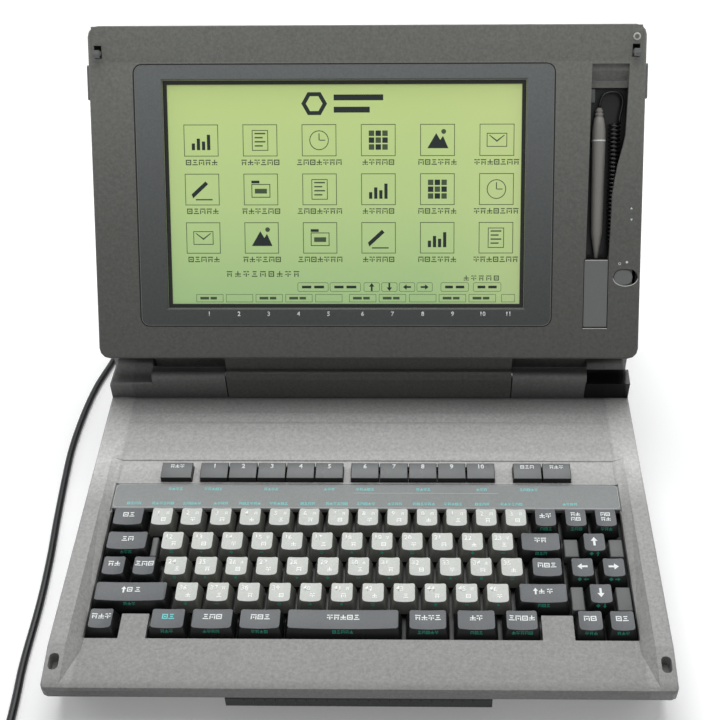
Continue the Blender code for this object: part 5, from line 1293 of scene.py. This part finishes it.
def make_back_fittings():
    """On the printer housing: two grilles, two port covers, screws and a blank plate."""
    back = place_at(0, back_face, 0) @ Matrix.Rotation(pi, 4, "Z") @ Matrix.Rotation(pi / 2, 4, "X")
    make_grille("grille_left", -150, 18, 12, 22, back, "case")
    make_grille("grille_right", -96, 18, 12, 22, back, "case")
    for name, left, right in (("port_cover_wide", -34, 18), ("port_cover_narrow", 28, 56)):
        line = make_print(name + "_gap", rounded_box(left - 0.7, 17.3, right + 0.7, 34.7, 2.2), [],
                          joint_and_shade_finish, thick=0.06, matrix=back)
        carried(line, "case")
        door = rounded_block(name, (left * MM, 0.018, 0.00005), (right * MM, 0.034, 0.0009), 0.0005)
        grip = rounded_block("grip", ((left + right) / 2 * MM - 0.006, 0.0195, 0.0006),
                             ((left + right) / 2 * MM + 0.006, 0.0212, 0.0015), 0.0004)
        fitted(join(name, [door, grip]), case_finish, "case", back)
    make_screws("back_screws", [(-168, 62), (168, 62), (0, 62), (-168, 12), (120, 12)], back, "case")
    plate = rounded_block("blank_plate", (0.078, 0.018, 0.00003), (0.112, 0.040, 0.0004), 0.0002)
    fitted(plate, strip_finish, "case", back)


def make_cover_fittings():
    """Raised paper guides and two marks on the printer cover."""
    top = place_at(0, 0, cover_face)
    ribs = [rounded_block("guide", (x * MM - 0.0006, 0.120, -0.0001), (x * MM + 0.0006, 0.152, 0.0005),
                          0.0003) for x in (-112, -84, -56, -28, 28, 56, 84, 112)]
    fitted(join("paper_guides", ribs), case_finish, "cover", top)
    arrow_marks = make_print("cover_marks", polygon(-122, 96, 2.2, 3, -pi / 2)
                             + polygon(122, 96, 2.2, 3, -pi / 2), [], grey_print, thick=0.03,
                             matrix=top)
    carried(arrow_marks, "cover")


def make_lid_back_fittings():
    """On the lid's outside: a fine panel line, four rubber pads and a blank badge place."""
    outside = (lid_matrix @ place_at(0, 0, lid_back_face) @ Matrix.Rotation(pi, 4, "Y"))
    line = make_print("lid_panel_line", frame_line(-168, 30, 168, 218, 0.6, 9.0), [], joint_and_shade_finish,
                      thick=0.05, matrix=outside)
    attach(line, "lid")
    pads = []
    for x, y in ((-158, 40), (158, 40), (-158, 208), (158, 208)):
        pad = turned("pad", [(-0.0002, 0.0048), (0.0008, 0.0048), (0.0012, 0.0043),
                             (0.0013, 0.0030)], 24)
        settle(pad, place_at(x * MM, y * MM, 0))
        pads.append(pad)
    fitted(join("lid_pads", pads), rubber_finish, "lid", outside)
    badge = rounded_block("blank_badge", (-0.021, 0.186, -0.0001), (0.021, 0.196, 0.0006), 0.0004, 3)
    fitted(badge, bezel_finish, "lid", outside)


def make_side_fittings():
    """Drive lamp and marks by the switch, grips on the latch sliders, ridges on the handle."""
    right = (place_at(side_face, 0, 0) @ Matrix.Rotation(pi / 2, 4, "Z")
             @ Matrix.Rotation(pi / 2, 4, "X"))
    lamp = rounded_block("drive_lamp", (0.132, 0.0250, -0.0002), (0.137, 0.0270, 0.0004), 0.0003)
    fitted(lamp, lamp_finish, "case", right)
    lip = make_print("drive_surround", frame_line(60, 22.0, 156, 44.0, 0.6, 1.5), [], joint_and_shade_finish,
                     thick=0.04, matrix=right)
    carried(lip, "case")
    left = (place_at(-side_face, 0, 0) @ Matrix.Rotation(-pi / 2, 4, "Z")
            @ Matrix.Rotation(pi / 2, 4, "X"))
    marks = make_print("switch_marks", bar(-91.3, 59.0, -90.6, 61.6) + ring(-99.6, 60.3, 1.5, 0.5),
                       [], white_print, thick=0.03, matrix=left)
    carried(marks, "case")
    ribs = []
    for k in range(6):
        y = 0.1905 + k * 0.0026
        ribs.append(rounded_block("ridge", (0.18535, y, 0.0105), (0.1856, y + 0.0011, 0.0150),
                                  0.0001, 1))
    grip = join("latch_grip_right", ribs)
    other = copy_of(grip, (0, 0, 0))
    other.name = "latch_grip_left"
    other.data.transform(Matrix.Scale(-1, 4, (1, 0, 0)))
    activate(other)
    bpy.ops.object.mode_set(mode="EDIT")
    bpy.ops.mesh.select_all(action="SELECT")
    bpy.ops.mesh.normals_make_consistent(inside=False)
    bpy.ops.object.mode_set(mode="OBJECT")
    fitted(grip, lever_finish, "right_latch", lid_matrix)
    fitted(other, lever_finish, "left_latch", lid_matrix)
    ridges = [rounded_block("ridge", (x * MM - 0.0007, -0.0003, 0.0193),
                            (x * MM + 0.0007, 0.0002, 0.0249), 0.0002, 1)
              for x in range(-66, 67, 6)]
    fitted(join("handle_ridges", ridges), black_finish, "handle", place_at(0, handle_face, 0))


def make_underside():
    """Screws, a blank rating place and a battery door on the bottom of the tray."""
    under = place_at(0, 0, tray_face) @ Matrix.Rotation(pi, 4, "X")
    make_screws("bottom_screws", [(-120, 120), (120, 120), (-165, 40), (165, 40), (-120, -150),
                                  (120, -150), (0, -60)], under, "case")
    plate = rounded_block("blank_rating_plate", (-0.035, -0.060, 0.00003), (0.035, -0.020, 0.0004),
                          0.0002)
    fitted(plate, strip_finish, "case", under)
    line = make_print("battery_door_line", frame_line(60, 20, 140, 62, 0.7, 3.0), [], joint_and_shade_finish,
                      thick=0.05, matrix=under)
    carried(line, "case")
    ribs = [rounded_block("door_grip", (0.088 + k * 0.004, 0.056, -0.0001),
                          (0.0895 + k * 0.004, 0.060, 0.0004), 0.0002, 1) for k in range(7)]
    fitted(join("battery_door_grip", ribs), case_finish, "case", under)


def make_edge_lights():
    """Painted highlight: a pale strip where the edge in front of the lid's neck catches the light."""
    rim = make_print("trough_rim", bar(-99.0, 103.9, 99.0, 104.25), [], edge_highlight_finish, thick=0.05,
                     matrix=deck_matrix @ place_at(0, 0, -0.0022))
    carried(rim, "case")


def make_tub_lining():
    """Painted shade in the pen tub: a black sheet shaped as a shallow tray with two taller sides."""
    tray = block("tub_painted_shade", (0.14575, 0.0826, 0.00465), (0.17315, 0.19415, 0.0104))
    bpy.ops.object.mode_set(mode="EDIT")
    pick("FACE", lambda face: face.normal.z > 0.5)
    bpy.ops.mesh.inset(thickness=0.0002)
    bpy.ops.mesh.extrude_region_move(TRANSFORM_OT_translate={"value": (0, 0, -0.0055)})
    bpy.ops.object.mode_set(mode="OBJECT")
    sides = [block("side", (x, 0.0826, 0.0104), (x + 0.0002, 0.19415, 0.0148))
             for x in (0.14575, 0.17295)]
    holder = rounded_block("holder", (0.1461, 0.1846, 0.00495), (0.1522, 0.1938, 0.0096), 0.0006)
    painted_shade = join("tub_painted_shade", [tray] + sides)
    dress(painted_shade, black_finish, "lid")
    dress(holder, bezel_finish, "lid")
    holder.name = "tub_holder"
    for piece in (painted_shade, holder):
        settle(piece, lid_matrix)


def make_pen():
    """Turned pen: blunt tip, long barrel, white ring, ribbed neck, tail."""
    stations = [(0.0812, 0.0009), (0.0826, 0.0014), (0.0979, 0.0037), (0.1080, 0.0039),
                (0.1594, 0.0045), (0.1655, 0.0045), (0.1700, 0.0040), (0.1745, 0.0031),
                (0.1750, 0.0026), (0.1760, 0.0026), (0.1763, 0.0029), (0.1773, 0.0029),
                (0.1776, 0.0023), (0.1785, 0.0023), (0.1788, 0.0025), (0.1797, 0.0024),
                (0.1800, 0.0018), (0.1811, 0.0017)]
    place = lid_matrix @ Matrix.Translation((pen_x, 0, pen_z)) @ Matrix.Rotation(-pi / 2, 4, "X")
    barrel = turned("pen_barrel", stations, 40)
    dress(barrel, pen_finish, "pen")
    settle(barrel, place)
    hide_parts("pen")
    band = turned("pen_ring", [(0.1592, 0.00449), (0.1593, 0.00455), (0.1601, 0.00455),
                               (0.1602, 0.00449)], 40)
    dress(band, white_print, "pen")
    settle(band, place)
    return barrel


def pen_cord_route():
    """From the pen's tail over in a loop, down in curls and out through the tub's foot."""
    gap, reach, turns, per_turn = 0.0003, 0.0032, 30, 16
    loop_top = 0.1942 - wire_radius * 3
    loop = [(pen_x, 0.1812 + gap, pen_z), (pen_x, 0.1812 + wire_radius * 2, pen_z),
            (pen_x + reach * 0.9, loop_top - reach * 0.5, pen_z),
            (curl_x + reach * 0.3, loop_top, pen_z),
            (curl_x + reach * 1.6, loop_top - reach * 1.7, curl_z),
            (curl_x + reach, curl_top + curl_pitch * 1.2, curl_z)]
    points = smooth_route(loop, reach * 0.8)
    for k in range(turns * per_turn + 1):
        turn = tau * k / per_turn
        points.append((curl_x + reach * cos(turn), curl_top - curl_pitch * k / per_turn,
                       curl_z - reach * sin(turn)))
    foot = curl_top - curl_pitch * turns
    tail = 0.0825 + gap + wire_radius * 2
    points += smooth_route([(curl_x + reach * 0.6, foot - curl_pitch * 0.7, curl_z),
                            (curl_x, (foot + tail) / 2, curl_z), (curl_x, tail, curl_z),
                            (curl_x, 0.0825 + gap, curl_z)], wire_radius * 2)
    return [tuple(lid_matrix @ Vector(point)) for point in reversed(points)]


def make_pen_cord(pen):
    """Curly cord: one mesh from the pen's tail, over in a loop and down in curls."""
    points = pen_cord_route()
    cord = wire("pen_curls", points, wire_radius, 2, cord_finish)
    activate(cord)
    bpy.ops.object.convert(target="MESH")
    cord = bpy.context.object
    bpy.ops.object.mode_set(mode="EDIT")
    bpy.ops.mesh.select_all(action="SELECT")
    bpy.ops.mesh.remove_doubles(threshold=0.000002)
    bpy.ops.object.mode_set(mode="OBJECT")
    bpy.ops.object.shade_smooth()
    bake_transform(cord)
    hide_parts("pen_cord")
    print("pen cord length", round(route_length(points), 4))


def add_lead():
    """Mains lead: from its sleeve round the machine's left side, into a coil, to the plug."""
    coil = coil_route()
    free = [lead_exit] + smooth_route(lead_route + [coil[0]], lead_diameter * 1.2)
    free = [(x, y, max(z, lead_diameter / 2)) for x, y, z in free]
    end = Vector(coil[-1])
    drop = Vector((end.x + lead_diameter * 2, end.y, end.z - lead_diameter * 0.2))
    near = Vector((plug_start[0] - lead_diameter * 2, plug_start[1], plug_middle))
    tail = smooth_route([end, drop, near, (plug_start[0] - 0.0003, plug_start[1], plug_middle)],
                        lead_diameter * 0.8)
    points = free[:-1] + coil + tail[1:]
    lead = wire("mains_lead", points, lead_diameter / 2, 4, lead_finish)
    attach(lead, "case")
    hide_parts("power_cord", "cord_coil")
    print("lead length", round(route_length(points), 4))


set_camera()
set_light()
add_floor()
add_lead()
make_pen_cord(make_pen())
make_tub_lining()
make_key_pan()
make_character_keys()
make_dark_keys()
make_function_keys()
make_strip_marks()
make_display_marks()
make_display_border()
make_lid_marks()
make_back_fittings()
make_cover_fittings()
make_lid_back_fittings()
make_side_fittings()
make_underside()
make_edge_lights()


# Finishes of the CAD nodes

node_finishes = {
    "base_tray": tray_finish, "deck_cover": deck_finish, "rear_housing": case_finish,
    "printer_cover": case_finish, "disk_drive": case_finish, "latch_left": lever_finish,
    "latch_right": lever_finish, "key_plate": cap_finish, "legend_strip": strip_finish,
    "function_key_bar": black_finish, "status_window": gloss_finish,
    "platen_roller": rubber_finish, "carriage_shaft": steel_finish,
    "print_carriage": black_finish, "eject_button": slate_finish, "power_switch": gloss_finish,
    "foot_front_left": rubber_finish, "foot_front_right": rubber_finish,
    "foot_rear_left": rubber_finish, "foot_rear_right": rubber_finish,
    "carry_handle": black_finish, "lid_front": lid_finish, "lid_back": lid_finish,
    "screen_bezel": bezel_finish, "lcd_panel": display_finish, "pen": pen_finish,
    "pen_cord": lead_finish, "pen_lever": lever_finish, "contrast_knob": lever_finish,
    "hinge_pin_left": steel_finish, "hinge_pin_right": steel_finish,
    "strain_relief": lead_finish, "plug": lead_finish}
node_finishes.update({name: slate_finish for name in key_body})


def finish_nodes():
    """Materials for the CAD pieces that stay."""
    for name, material in node_finishes.items():
        node = nodes[name]
        for place in node.material_slots:
            place.material = material
        if not node.material_slots:
            node.data.materials.append(material)


finish_nodes()
